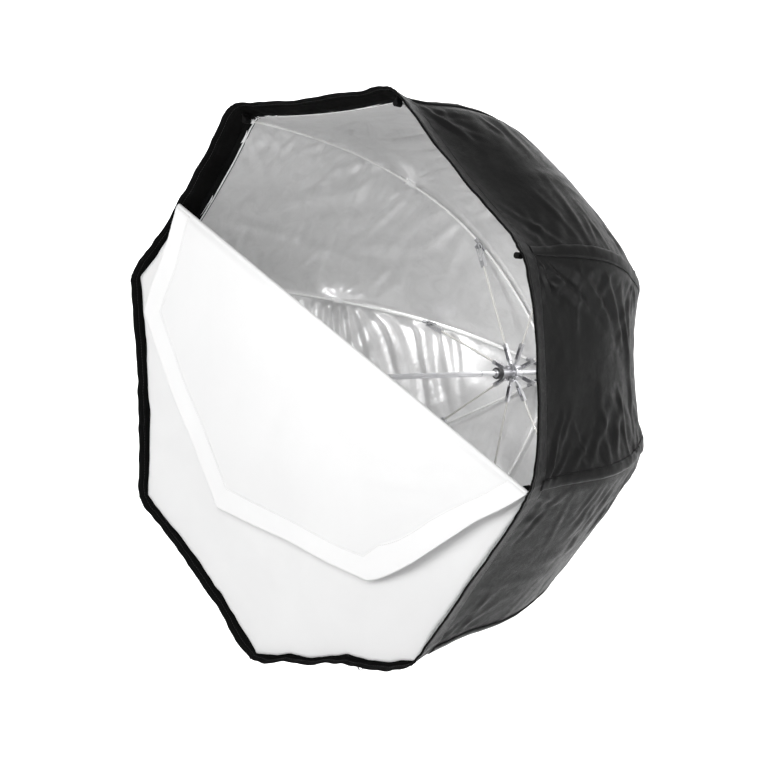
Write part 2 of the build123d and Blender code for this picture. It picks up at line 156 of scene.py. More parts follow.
def ridge(x, v, x0, v0, ang, length, width, amp, curve=0.0):
    """A fold in the cloth: a rounded crest along a line, fading at both ends."""
    c, s = math.cos(math.radians(ang)), math.sin(math.radians(ang))
    al = (x - x0) * c + (v - v0) * s
    pe = -(x - x0) * s + (v - v0) * c - curve * (al / length) ** 2 * width
    t = np.clip(al / length, 0, 1)
    env = np.where((al > -0.08 * length) & (al < length), np.sin(np.pi * np.clip((t + 0.08) / 1.08, 0, 1)) ** 0.8, 0)
    q = pe / width
    return amp * env * (np.exp(-q * q) - 0.45 * np.exp(-((q - 1.9) / 1.1) ** 2) - 0.45 * np.exp(-((q + 1.9) / 1.1) ** 2))


# ------------------------------------------------------------------ mesh helpers
def new_object(name, verts, faces, smooth_faces=True, uvs=None, mats=(), face_mat=None):
    me = bpy.data.meshes.new(name)
    me.from_pydata([tuple(v) for v in verts], [], faces)
    me.update()
    if smooth_faces:
        me.polygons.foreach_set("use_smooth", np.ones(len(me.polygons), bool))
    if uvs is not None:
        layer = me.uv_layers.new(name="cloth")
        idx = np.zeros(len(me.loops), int)
        me.loops.foreach_get("vertex_index", idx)
        layer.data.foreach_set("uv", np.asarray(uvs, np.float32)[idx].ravel())
    for m in mats:
        me.materials.append(m)
    if face_mat is not None:
        me.polygons.foreach_set("material_index", np.asarray(face_mat, np.int32))
    ob = bpy.data.objects.new(name, me)
    coll.objects.link(ob)
    return ob


def ring_shell(outer, inner, uv=None):
    """Closed shell from two grids (rows, columns, 3) whose columns go all the way round. Returns verts, faces, face
    kind.
    """
    ns, nc = outer.shape[:2]
    verts = np.concatenate([outer.reshape(-1, 3), inner.reshape(-1, 3)])
    o = ns * nc
    i, j = np.meshgrid(np.arange(ns - 1), np.arange(nc), indexing="ij")
    i, j = i.ravel(), j.ravel()
    k = (j + 1) % nc
    a, b, c, d = i * nc + j, i * nc + k, (i + 1) * nc + k, (i + 1) * nc + j
    # both sheets split along the same diagonal, so they never cross when the cloth gathers
    f_out = np.concatenate([np.stack([a, b, c], 1), np.stack([a, c, d], 1)])
    f_in = np.concatenate([np.stack([o + a, o + c, o + b], 1), np.stack([o + a, o + d, o + c], 1)])
    j = np.arange(nc)
    k = (j + 1) % nc
    top = np.stack([j, o + j, o + k, k], 1)
    e = (ns - 1) * nc
    end = np.stack([e + j, e + k, o + e + k, o + e + j], 1)
    faces = f_out.tolist() + f_in.tolist() + top.tolist() + end.tolist()
    kind = np.concatenate([np.zeros(len(f_out)), np.ones(len(f_in)), np.full(len(top) + len(end), 2)]).astype(int)
    return verts, faces, kind


def grid_normals(g):
    """Normals of a ring grid (rows, columns, 3)."""
    du = np.roll(g, -1, 1) - np.roll(g, 1, 1)
    dv = np.gradient(g, axis=0)
    n = np.cross(du, dv)
    return n / np.maximum(np.linalg.norm(n, axis=2, keepdims=True), 1e-9)


def sweep_box(path, normal, side, w, t0, t1):
    """Strip with a rectangular section along path points: half width w along side, from t0 to t1 along normal."""
    n = len(path)
    rows = [path + side * w + normal * t0, path + side * w + normal * t1, path - side * w + normal * t1, path - side * w + normal * t0]
    verts = np.concatenate(rows)
    faces = []
    for r in range(4):
        q = (r + 1) % 4
        for i in range(n - 1):
            faces.append((r * n + i, r * n + i + 1, q * n + i + 1, q * n + i))
    faces.append((0, n, 2 * n, 3 * n))
    faces.append((n - 1, 4 * n - 1, 3 * n - 1, 2 * n - 1))
    return verts, faces


# ------------------------------------------------------------------ the cloth follows the ribs
arm = bpy.data.objects.new("cloth_rig", bpy.data.armatures.new("cloth_rig"))
coll.objects.link(arm)
bpy.context.view_layer.objects.active = arm
bpy.ops.object.mode_set(mode="EDIT")
for name in ["shaft"] + [f"rib_{k + 1}" for k in range(N)]:
    b = arm.data.edit_bones.new(name)
    b.head, b.tail, b.roll = (0, 0, 0), (0, 1, 0), 0
bpy.ops.object.mode_set(mode="OBJECT")
for k in range(N):
    c = arm.pose.bones[f"rib_{k + 1}"].constraints.new("COPY_TRANSFORMS")
    c.target = frame["bodies"][f"rib_{k + 1}"]


def gore_place(x, z):
    """Gore index and place across it, for points seen along the box's axis."""
    a = np.degrees(np.arctan2(z, x)) - 22.5
    a = np.mod(a, 360)
    g = np.minimum((a // 45).astype(int), 7)
    u = 0.5 + np.tan(np.radians(a - g * 45 - 22.5)) / (2 * math.tan(HALF))
    return g, np.clip(u, 0, 1)


def skin(ob):
    """Weights each point of a cloth piece to its two neighbouring ribs; the crown stays with the shaft."""
    co = np.array([v.co for v in ob.data.vertices]) / MM
    g, u = gore_place(co[:, 0], co[:, 2])
    r = np.hypot(co[:, 0], co[:, 2])
    near = smooth(26, 90, r)
    ws = np.zeros((len(co), N + 1))
    idx = np.arange(len(co))
    ws[:, 0] = 1 - near
    ws[idx, 1 + g] += near * (1 - u)
    ws[idx, 1 + (g + 1) % N] += near * u
    names = ["shaft"] + [f"rib_{k + 1}" for k in range(N)]
    q = np.round(ws * 4000).astype(int)
    for c, nm in enumerate(names):
        vg = ob.vertex_groups.new(name=nm)
        order = np.argsort(q[:, c], kind="stable")
        lvls, first = np.unique(q[order, c], return_index=True)
        for lvl, ids in zip(lvls, np.split(order, first[1:])):
            if lvl > 0:
                vg.add(ids.tolist(), float(lvl) / 4000, "REPLACE")
    m = ob.modifiers.new("follow_ribs", "ARMATURE")
    m.object = arm
    return ob


# ------------------------------------------------------------------ materials
def nodes_of(name):
    m = bpy.data.materials.new(name)
    m.use_nodes = True
    nt = m.node_tree
    b = nt.nodes["Principled BSDF"]
    return m, nt, b


def add(nt, kind, **kw):
    n = nt.nodes.new(kind)
    for k, v in kw.items():
        if k in n.inputs.keys():
            n.inputs[k].default_value = v
        else:
            setattr(n, k, v)
    return n


def ramp(nt, src, stops):
    r = nt.nodes.new("ShaderNodeValToRGB")
    el = r.color_ramp.elements
    while len(el) < len(stops):
        el.new(0.5)
    for e, (p, c) in zip(el, stops):
        e.position = p
        e.color = (c, c, c, 1) if not isinstance(c, tuple) else (*c, 1)
    nt.links.new(src, r.inputs["Fac"])
    return r.outputs["Color"]


def weave_height(nt, pitch_mm, coord="Object", uv=None):
    """Two crossed thread waves; height for a bump."""
    tc = nt.nodes.new("ShaderNodeTexCoord")
    src = tc.outputs[coord]
    if uv:
        um = add(nt, "ShaderNodeUVMap", uv_map=uv)
        src = um.outputs["UV"]
    outs = []
    for d in ("X", "Y") if uv else ("X", "Z"):
        w = add(nt, "ShaderNodeTexWave", bands_direction=d, wave_profile="SIN")
        # object coordinates are metres; one band per 2*pi/(20*scale)
        w.inputs["Scale"].default_value = (math.pi * 2 / 20) / (pitch_mm * MM)
        w.inputs["Distortion"].default_value = 0.6
        w.inputs["Detail Scale"].default_value = 1.5
        nt.links.new(src, w.inputs["Vector"])
        outs.append(w.outputs["Fac"])
    mx = add(nt, "ShaderNodeMath", operation="MAXIMUM")
    nt.links.new(outs[0], mx.inputs[0])
    nt.links.new(outs[1], mx.inputs[1])
    return mx.outputs[0], src


def noise_tex(nt, src, scale, detail=4.0, rough=0.55, distortion=0.0):
    n = add(nt, "ShaderNodeTexNoise", Scale=scale, Detail=detail, Roughness=rough, Distortion=distortion)
    nt.links.new(src, n.inputs["Vector"])
    return n.outputs["Fac"]


def bump(nt, height, strength, dist_mm, normal=None):
    b = add(nt, "ShaderNodeBump", Strength=strength, Distance=dist_mm * MM)
    nt.links.new(height, b.inputs["Height"])
    if normal is not None:
        nt.links.new(normal, b.inputs["Normal"])
    return b.outputs["Normal"]


def black_cloth(name, base=0.016, rough=0.52, sheen=0.25, weave=0.7, crease=0.35, uv="cloth", spec=0.24):
    m, nt, b = nodes_of(name)
    h, src = weave_height(nt, weave, uv=uv)
    obj = nt.nodes.new("ShaderNodeTexCoord").outputs["Object"]
    big = noise_tex(nt, obj, 14, 5, 0.6, 0.4)
    fine = noise_tex(nt, obj, 90, 5, 0.6, 0.8)
    col = ramp(nt, big, [(0.3, base * 0.75), (0.55, base), (0.75, base * 1.5)])
    nt.links.new(col, b.inputs["Base Color"])
    r = ramp(nt, fine, [(0.3, rough - 0.07), (0.7, rough + 0.1)])
    nt.links.new(r, b.inputs["Roughness"])
    n1 = bump(nt, big, crease, 3.0)
    n2 = bump(nt, fine, crease * 0.5, 0.8, n1)
    n3 = bump(nt, h, 0.35, 0.12, n2)
    nt.links.new(n3, b.inputs["Normal"])
    b.inputs["Sheen Weight"].default_value = sheen
    b.inputs["Sheen Roughness"].default_value = 0.4
    b.inputs["Specular IOR Level"].default_value = spec
    return m


def silver_cloth(name):
    m, nt, b = nodes_of(name)
    h, src = weave_height(nt, 0.6, uv="cloth")
    obj = nt.nodes.new("ShaderNodeTexCoord").outputs["Object"]
    big = noise_tex(nt, obj, 9, 6, 0.62, 1.2)
    mid = noise_tex(nt, obj, 36, 6, 0.65, 1.6)
    crumple = add(nt, "ShaderNodeTexVoronoi", feature="DISTANCE_TO_EDGE", Scale=46.0)
    nt.links.new(obj, crumple.inputs["Vector"])
    col = ramp(nt, mid, [(0.25, 0.86), (0.6, 0.94), (0.8, 0.97)])
    nt.links.new(col, b.inputs["Base Color"])
    r = ramp(nt, big, [(0.3, 0.30), (0.7, 0.44)])
    nt.links.new(r, b.inputs["Roughness"])
    n1 = bump(nt, big, 0.55, 5.0)
    n2 = bump(nt, mid, 0.3, 1.4, n1)
    n3 = bump(nt, crumple.outputs["Distance"], 0.05, 0.9, n2)
    n4 = bump(nt, h, 0.25, 0.1, n3)
    nt.links.new(n4, b.inputs["Normal"])
    b.inputs["Metallic"].default_value = 0.5
    return m


def white_cloth(name, base=0.9, through=0.3, weave=0.6):
    m, nt, b = nodes_of(name)
    h, src = weave_height(nt, weave)
    obj = nt.nodes.new("ShaderNodeTexCoord").outputs["Object"]
    big = noise_tex(nt, obj, 6, 5, 0.55, 0.8)
    fine = noise_tex(nt, obj, 40, 5, 0.6, 1.0)
    col = ramp(nt, big, [(0.3, base * 0.965), (0.7, base)])
    nt.links.new(col, b.inputs["Base Color"])
    n1 = bump(nt, big, 0.25, 4.0)
    n2 = bump(nt, fine, 0.18, 0.9, n1)
    n3 = bump(nt, h, 0.3, 0.1, n2)
    nt.links.new(n3, b.inputs["Normal"])
    rr = ramp(nt, fine, [(0.3, 0.7), (0.7, 0.85)])
    nt.links.new(rr, b.inputs["Roughness"])
    b.inputs["Sheen Weight"].default_value = 0.15
    b.inputs["Specular IOR Level"].default_value = 0.3
    if through > 0:
        tr = nt.nodes.new("ShaderNodeBsdfTranslucent")
        nt.links.new(col, tr.inputs["Color"])
        nt.links.new(n3, tr.inputs["Normal"])
        mix = nt.nodes.new("ShaderNodeMixShader")
        mix.inputs[0].default_value = through
        nt.links.new(b.outputs[0], mix.inputs[1])
        nt.links.new(tr.outputs[0], mix.inputs[2])
        nt.links.new(mix.outputs[0], nt.nodes["Material Output"].inputs["Surface"])
    return m


def hard(name, base, rough, metal=0.0, grain=60.0, streak=False, coat=0.0, wear=None):
    """Moulded plastic, coated rod or worked metal, with grain, uneven gloss and worn edges."""
    m, nt, b = nodes_of(name)
    obj = nt.nodes.new("ShaderNodeTexCoord").outputs["Object"]
    src = obj
    if streak:
        mp = add(nt, "ShaderNodeMapping")
        mp.inputs["Scale"].default_value = (1, 0.06, 1)
        nt.links.new(obj, mp.inputs["Vector"])
        src = mp.outputs["Vector"]
    g = noise_tex(nt, src, grain * 12, 4, 0.6)
    big = noise_tex(nt, obj, grain, 4, 0.6)
    geo = nt.nodes.new("ShaderNodeNewGeometry")
    edge = ramp(nt, geo.outputs["Pointiness"], [(0.5, 0.0), (0.56, 1.0)])
    c0 = tuple(x * 0.88 for x in base)
    c1 = tuple(min(1, x * 1.08) for x in base)
    col = ramp(nt, big, [(0.3, c0), (0.7, c1)])
    mixc = add(nt, "ShaderNodeMix", data_type="RGBA")
    nt.links.new(edge, mixc.inputs[0])
    nt.links.new(col, mixc.inputs[6])
    w = wear or tuple(min(1, x * 1.6 + 0.05) for x in base)
    mixc.inputs[7].default_value = (*w, 1)
    nt.links.new(mixc.outputs[2], b.inputs["Base Color"])
    r = ramp(nt, g, [(0.3, max(0.05, rough - 0.08)), (0.7, rough + 0.1)])
    nt.links.new(r, b.inputs["Roughness"])
    nt.links.new(bump(nt, g, 0.12, 0.15), b.inputs["Normal"])
    b.inputs["Metallic"].default_value = metal
    b.inputs["Coat Weight"].default_value = coat
    return m


M_BLACK = black_cloth("nylon_black", 0.006, 0.42, 0.02, spec=0.19)
# darker, duller copy of the band's nylon for the lip's front edge and inside: its lower base colour is painted shade
M_LIP_SHADED = black_cloth("lip_nylon_black_shaded_inside", 0.0045, 0.75, 0.0, 0.9, spec=0.07)
M_LOOP = black_cloth("loop_pile_black", 0.004, 0.9, 0.0, 1.6, 0.6, spec=0.05)
M_SILVER = silver_cloth("silver_lining")
M_WHITE = white_cloth("white_binding", 0.88, 0.0, 0.8)
M_DIFF = white_cloth("diffuser_polyester", 0.955, 0.16, 0.55)
# copy of the diffuser cloth for the lower part: base colour a touch darker than the flap's, painted shade
M_PANEL_SHADED = white_cloth("diffuser_polyester_lower_shaded", 0.95, 0.17, 0.55)
M_HEM = white_cloth("diffuser_hem", 0.96, 0.08, 0.7)
M_LIP2 = black_cloth("pocket_nylon_black", 0.005, 0.7, 0.0, 0.9, uv=None, spec=0.08)
M_LOOP2 = black_cloth("zip_tape_black", 0.012, 0.7, 0.2, 0.9, uv=None)
M_TIE = white_cloth("tie_webbing_white", 0.88, 0.0, 1.0)
M_PLASTIC2 = hard("zip_teeth_black", (0.025, 0.025, 0.027), 0.35, 0, 200)
M_THREAD = hard("thread_black", (0.03, 0.03, 0.032), 0.7, 0, 300)
M_THREAD_W = hard("thread_white", (0.8, 0.8, 0.8), 0.7, 0, 300)
M_ROD = hard("rod_white_coat", (0.95, 0.95, 0.94), 0.32, 0, 40, True, 0.3, (0.7, 0.69, 0.66))
M_TIP = hard("tip_white_plastic", (0.84, 0.84, 0.82), 0.4, 0, 80)
M_STEEL_D = hard("steel_dark", (0.11, 0.11, 0.12), 0.38, 0.75, 60, True, 0, (0.5, 0.5, 0.52))
M_STEEL_G = hard("steel_grey", (0.42, 0.42, 0.44), 0.33, 0.9, 60, True, 0, (0.75, 0.75, 0.77))
M_CHROME = hard("shaft_polished", (0.62, 0.62, 0.64), 0.16, 1.0, 40, True, 0, (0.8, 0.8, 0.82))
M_PLASTIC = hard("plastic_black", (0.02, 0.02, 0.022), 0.42, 0, 90)
M_ZIP = hard("zip_nickel", (0.5, 0.5, 0.5), 0.28, 1.0, 80, False, 0, (0.8, 0.8, 0.8))

SLOT_MAT = {"white_rod": M_ROD, "dark_steel": M_STEEL_D, "grey_steel": M_STEEL_G, "bright_steel": M_CHROME,
            "white_plastic": M_TIP, "black_plastic": M_PLASTIC, "zip_metal": M_ZIP}
for s in frame["record"]["subparts"]:
    ob = NODES[s["node"]]
    if s["material_slot"] in SLOT_MAT:
        ob.data.materials.clear()
        ob.data.materials.append(SLOT_MAT[s["material_slot"]])

# ------------------------------------------------------------------ cover: one continuous sewn sheet
NS = 220
line, arc = catmull(COVER_LINE, NS)
ARC_L = arc[-1]
RIM_V = ARC_L - arc                                      # distance back from the seam


BULGE = np.array([14.0, 2.0, -4.0, -5.0, -4.0, -3.0, 5.0, -10.0])    # how far each gore swells between its ribs
FILL = np.array([1.0, 1.3, 0.5, 0.3, 0.3, 0.0, 0.0, 0.5])             # how far the cloth stands off each rib


def cover_mid():
    """Middle surface of the cover (rows apex to seam), before wrinkles."""
    R = line[:, 0][:, None]
    Y = (line[:, 1] + FRONT)[:, None]
    g = R[..., None] * DIR[None]
    p = g.copy()
    p[..., 1] = Y
    v = RIM_V[:, None]
    # the sheet sags inward between the ribs, most at mid depth
    bul = BULGE[COL_G][None] * smooth(0, 200, ARC_L - v) * smooth(-40, 160, v)
    out = (FILL[COL_G] * (1 - COL_U) + FILL[(COL_G + 1) % N] * COL_U)[None]
    swell = 12.0 * out * smooth(0, 110, v) * (1 - 0.6 * smooth(170, 330, v)) * smooth(0, 150, ARC_L - v)
    sag = -bul * CROWD[None] ** 0.8
    flat = (COL_G == 5)[None] * (1 - smooth(150, 300, v)) * CROWD[None]
    sag = sag * (1 - flat) - swell
    nr = np.gradient(line, axis=0)
    nr = nr / np.linalg.norm(nr, axis=1)[:, None]
    nin = np.stack([nr[:, 1], -nr[:, 0]], 1)               # inward in the (r, y) plane
    p += sag[..., None] * (nin[:, 0][:, None, None] * EC[None] + nin[:, 1][:, None, None] * np.array([0, 1.0, 0]))
    # rim bows
    near = (1 - smooth(0, 130, v))
    bb, bi = (BOW_BACK[COL_G] * 0.62)[None] * CROWD[None] ** 0.75, (BOW_IN[COL_G])[None] * CROWD[None]
    p[..., 1] += near * bb
    p -= (near * bi)[..., None] * EC[None]
    # rounded corner over each rib
    d = np.minimum(COL_U, 1 - COL_U)[None] * 2 * R * math.sin(HALF)
    rc = E[(COL_G + (COL_U > 0.5)) % N]
    p -= (3.4 * np.exp(-(d / 9.0) ** 2) * smooth(0, 120, R))[..., None] * rc[None]
    return p


def lateral():
    R = line[:, 0][:, None]
    return (COL_U[None] - 0.5) * 2 * R * math.sin(HALF)


X = lateral()
V = np.broadcast_to(RIM_V[:, None], X.shape)
WID = 2 * line[:, 0][:, None] * math.sin(HALF) * np.ones_like(X)
D = np.zeros_like(X)
rng = np.random.RandomState(11)
for g in range(N):
    cols = np.nonzero(COL_G == g)[0]
    x, v, wd = X[:, cols], V[:, cols], WID[:, cols]
    d = np.zeros_like(x)
    # tension folds that fan out from the rim corners and from the ribs
    for side in (-1, 1):
        for i in range(7):
            a = rng.uniform(25, 80)
            d += ridge(side * x, v, -150 + rng.uniform(0, 20), rng.uniform(0, 25), a, rng.uniform(40, 120), rng.uniform(4.5, 7), rng.uniform(0.5, 1.5))
        for i in range(11):
            v0 = rng.uniform(30, 430)
            half = float(np.interp(v0, RIM_V[::-1], (line[:, 0] * math.sin(HALF))[::-1]))
            d += ridge(side * x, v, -half + 2, v0, rng.uniform(-60, 40), rng.uniform(50, 150), rng.uniform(5, 9), rng.uniform(0.6, 1.7), rng.uniform(-1, 1))
    for i in range(5):
        d += ridge(x, v, rng.uniform(-80, 80), rng.uniform(20, 330), rng.uniform(60, 120), rng.uniform(90, 200), rng.uniform(7, 14), rng.uniform(0.6, 1.6), rng.uniform(-2, 2))
    d += 1.5 * noise2(x, v, 100 + g, 62) + 0.45 * noise2(x * 1.0, v, 200 + g, 21)
    fade = smooth(0, 10, np.minimum(x + wd / 2, wd / 2 - x)) * 0.75 + 0.25
    D[:, cols] = d * fade * smooth(20, 150, ARC_L - v) * (0.95 if g in (0, 6) else 1.15)
# long upright folds on the right-hand gore
cols = np.nonzero(COL_G == 7)[0]
x, v = X[:, cols], V[:, cols]
for (x0, v0, a, L, w, am) in [(120, 55, 115, 90, 6, 2.6), (128, 110, 128, 120, 7, 3.0), (120, 175, 140, 150, 9, 3.2), (105, 230, 150, 150, 8, 2.8),
                              (70, 255, 160, 130, 9, 2.4), (-140, 70, 50, 90, 6, 2.2), (-130, 120, 40, 110, 8, 2.4), (-120, 190, 30, 120, 9, 2.2),
                              (-150, 12, 25, 60, 4, 2.2), (-152, 24, 48, 62, 4, 2.0), (150, 10, 155, 58, 4, 2.4), (152, 22, 128, 60, 4, 2.0)]:
    D[:, cols] += ridge(x, v, x0, v0, a, L, w, am)
# deep gathers under the rib at the left, where the lining is full
cols = np.nonzero(COL_G == 3)[0]
x, v, u = X[:, cols], V[:, cols], COL_U[cols][None]
dist = u * WID[:, cols]
tv = float(RIM_V[np.argmin(np.hypot(line[:, 0] - 307.2, line[:, 1] - 311.8))])
ve = tv + (v - tv) * (1 + 1.1 * np.exp(-dist / 55.0) * np.exp(-((v - tv) / 75.0) ** 2))
ph = (ve + 26 * noise1(v, 5, 55)) / 29.0 * 2 * math.pi + 0.03 * dist * noise1(v, 9, 60)
pleat = np.tanh(1.8 * np.sin(ph)) * (0.66 + 0.5 * noise1(v, 6, 33))
reach = 95 + 45 * noise1(v, 8, 37)
PLEAT = 6.5 * pleat * smooth(3, 26, dist) * np.exp(-np.clip(dist / reach, 0, 6) ** 2.2) * smooth(95, 150, v) * (1 - smooth(430, 520, v))
D[:, cols] += PLEAT
# short creases that run off the ribs, and long ones across the upper gores
r2 = np.random.RandomState(77)
for g, sd, cnt, vr, lr, wr, ar in ((2, 1, 30, (60, 330), (35, 95), (4.6, 6.6), (0.9, 2.0)), (1, -1, 26, (70, 420), (40, 110), (4.8, 7.0), (0.9, 2.1)),
                                   (1, -1, 12, (190, 440), (130, 260), (5, 8.5), (1.4, 2.8)), (2, 1, 10, (120, 420), (120, 240), (6, 10), (1.0, 2.2)),
                                   (2, -1, 16, (80, 400), (40, 120), (4.8, 7), (0.8, 1.9)), (0, 1, 12, (40, 400), (50, 140), (5, 8), (0.6, 1.5)),
                                   (6, -1, 18, (20, 380), (60, 180), (4.8, 8), (0.9, 2.1)), (0, -1, 10, (20, 380), (50, 150), (5, 8), (0.6, 1.6))):
    cols = np.nonzero(COL_G == g)[0]
    x, v = X[:, cols], V[:, cols]
    for i in range(cnt):
        v0 = r2.uniform(*vr)
        half = float(np.interp(v0, RIM_V[::-1], (line[:, 0] * math.sin(HALF))[::-1]))
        D[:, cols] += ridge(sd * x, v, -half + r2.uniform(2, 26), v0, r2.uniform(-24, 16), r2.uniform(*lr), r2.uniform(*wr), r2.choice([-1, 1, 1]) * r2.uniform(*ar), r2.uniform(-1, 1))
# small gathers by each tie
TIE_V = float(RIM_V[np.argmin(np.hypot(line[:, 0] - 307.2, line[:, 1] - 311.8))])
for k in range(N):
    for side, g in ((0, k), (1, (k - 1) % N)):
        cols = np.nonzero(COL_G == g)[0]
        x, v = X[:, cols], V[:, cols]
        dd = (x + WID[:, cols] / 2) if side == 0 else (WID[:, cols] / 2 - x)
        ang = np.arctan2(v - TIE_V, dd + 1e-6)
        rr = np.hypot(v - TIE_V, dd)
        D[:, cols] += 1.5 * np.sin(ang * 9 + k) * np.exp(-(rr / 42) ** 2) * smooth(2, 14, rr)

cols = np.nonzero(COL_G == 5)[0]
D[:, cols] *= np.maximum(smooth(14, 60, abs(X[:, cols])), smooth(330, 400, V[:, cols]))
D[:, COL_G == 6] *= 0.72
D[:, COL_G == 0] *= 0.8
by_rib = np.minimum(COL_U, 1 - COL_U)[None] * WID
D *= 0.1 + 0.9 * smooth(3, 20, by_rib)
mid = cover_mid()
nrm = grid_normals(mid)
if (nrm[60, 0] * E[0]).sum() < 0:
    nrm = -nrm
outer = mid + nrm * (D[..., None] * 1.0)
inner = mid + nrm * (D[..., None] - 1.1)
# each tie draws the lining down to its rib
tie_y = 311.8 + FRONT
for k in range(N):
    q = 307.2 * E[k] + tie_y * np.array([0, 1.0, 0])
    gap = float(np.linalg.norm(inner[:, k * NU] - q, axis=1).min())
    dd = np.minimum(COL_U, 1 - COL_U)[None] * WID
    near_k = ((COL_G == k) & (COL_U <= 0.5)) | ((COL_G == (k - 1) % N) & (COL_U > 0.5))
    w = np.exp(-((V - TIE_V) / 30.0) ** 2) * np.exp(-(dd / 17.0) ** 1.5) * near_k[None]
    inner -= nrm[:, k * NU][:, None] * (w * max(0.0, gap - 6.5))[..., None]
    outer -= nrm[:, k * NU][:, None] * (w * 2.2)[..., None]
verts, faces, kind = ring_shell(outer, inner)
uv = np.stack([np.broadcast_to((COL_G * 318.0 + COL_U * 318.0)[None], X.shape), V], 2).reshape(-1, 2) * MM
cover = new_object("cover_cloth", verts * MM, faces, uvs=np.concatenate([uv, uv]), mats=[M_BLACK, M_SILVER, M_BLACK], face_mat=kind)
skin(cover)
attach(cover, "shaft")
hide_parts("cover")

# bindings over the rib seams, outside
bv, bf = [], []
for k in range(N):
    c = k * NU
    for off, w in ((0, 0),):
        rows = np.arange(8, NS)
        a = outer[rows, (c + 1) % NC]
        b = outer[rows, (c + 2) % NC]
        z = outer[rows, (c - 1) % NC]
        path = outer[rows, c].copy()
        for _ in range(6):
            path[1:-1] = (path[:-2] + 2 * path[1:-1] + path[2:]) / 4
        e_t = mid[rows, (c + 3) % NC] - mid[rows, (c - 3) % NC]
        e_t /= np.linalg.norm(e_t, axis=1)[:, None]
        along = np.gradient(path, axis=0)
        along /= np.linalg.norm(along, axis=1)[:, None]
        nn = np.cross(e_t, along)
        sgn = np.sign((nn * E[k]).sum(1))[:, None]
        nn *= sgn
        nn /= np.linalg.norm(nn, axis=1)[:, None]
        # tape folded to one side: a raised lip that stands a little off the sheet
        s_w = np.interp(rows, [8, 60, NS - 1], [2.0, 6.8, 6.8])[:, None]
        pts = path + e_t * (s_w * 0.9)
        v1, f1 = sweep_box(pts, nn, e_t, 1.0, 0.0, 1.0)
        nrow = len(rows)
        wob = noise1(np.arange(nrow) * 5.0, 40 + k, 30)[:, None]
        prof = [(-1.1, 0.2), (-1.1, 1.6), (-0.9, 2.7), (-0.3, 3.1), (0.5, 3.0), (1.0, 2.4), (1.15, 1.3), (1.15, 0.2)]
        prof += [(0.85, 0.2), (0.5, 0.2), (0.15, 0.2), (-0.2, 0.2), (-0.5, 0.2), (-0.8, 0.2)]
        base = len(bv) and sum(len(q) for q in bv) or 0
        sp = WID[rows, 0] / NU

        def on_cover(w):
            cf = c + w[:, 0] / sp
            i0 = np.floor(cf).astype(int)
            t_ = (cf - i0)[:, None]
            return outer[rows, i0 % NC] * (1 - t_) + outer[rows, (i0 + 1) % NC] * t_

        ring = [on_cover(s_w * (0.9 + p[0])) + nn * (p[1] + (0.4 * wob if p[1] > 1 else 0)) for p in prof]
        m_ = len(prof)
        vv = np.stack(ring, 1).reshape(-1, 3)
        bv.append(vv)
        for i in range(nrow - 1):
            for j in range(m_):
                q = (j + 1) % m_
                bf.append((base + i * m_ + j, base + (i + 1) * m_ + j, base + (i + 1) * m_ + q, base + i * m_ + q))
        bf.append(tuple(base + j for j in range(m_)))
        bf.append(tuple(base + (nrow - 1) * m_ + (m_ - 1 - j) for j in range(m_)))
bind = new_object("rib_seam_bindings", np.concatenate(bv) * MM, bf, mats=[M_BLACK])
skin(bind)
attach(bind, "shaft")

# ------------------------------------------------------------------ lip band
seam_row = mid[-1]


EDGE_WAVE = np.array([1.5, 1.8, 1.8, 2.0, 2.6, 5.0, 2.4, 2.0])[COL_G] * (noise1(np.arange(NC) * 3.267, 51, 42) + 0.4 * noise1(np.arange(NC) * 3.267, 52, 17)) * smooth(0, 0.2, CROWD)


def lip_surface(s, t):
    """Ring of points on the lip: s mm back from the front edge, t mm outward."""
    s = np.atleast_1d(s)[:, None]
    Rr = FRONT_R + (SEAM_R - FRONT_R) * s / LIP_DEPTH
    p = Rr[..., None] * DIR[None]
    q = 1 - s / LIP_DEPTH
    wav = 1.3 * noise1(np.arange(NC) * 3.267, 21, 34)[None] + 0.7 * noise1(np.arange(NC) * 3.267, 22, 13)[None]
    pin = smooth(0, 0.07, CROWD)[None]
    p[..., 1] = FRONT + s + 1.2 + BOW_BACK[COL_G][None] * CROWD[None] ** 0.75 * (0.62 + 0.38 * q) + wav * (0.35 + 0.65 * q) * pin
    p -= (BOW_IN[COL_G][None] * CROWD[None] * (1 - 0.1 * q) + (0.72 * wav * pin + EDGE_WAVE[None]) * q)[..., None] * EC[None]
    d = np.minimum(COL_U, 1 - COL_U)[None] * 2 * Rr * math.sin(HALF)
    rc = E[(COL_G + (COL_U > 0.5)) % N]
    p -= ((4.6 - 1.2 * (1 - q)) * np.exp(-(d / 11.0) ** 2))[..., None] * rc[None]
    # cross puckers near the corners
    puck = 0.9 * np.sin(d / 3.6) * np.exp(-(d / 30.0) ** 2) * smooth(2, 8, d)
    lean = math.atan2(FRONT_R - SEAM_R, LIP_DEPTH) 
    nrm_r, nrm_y = math.cos(lean), math.sin(lean)
    tt = (t + puck)[..., None] if np.ndim(puck) else t + puck
    rad = DIR / np.linalg.norm(DIR, axis=1)[:, None]
    p += tt * (nrm_r * EC[None] + nrm_y * np.array([0, 1.0, 0]))
    return p


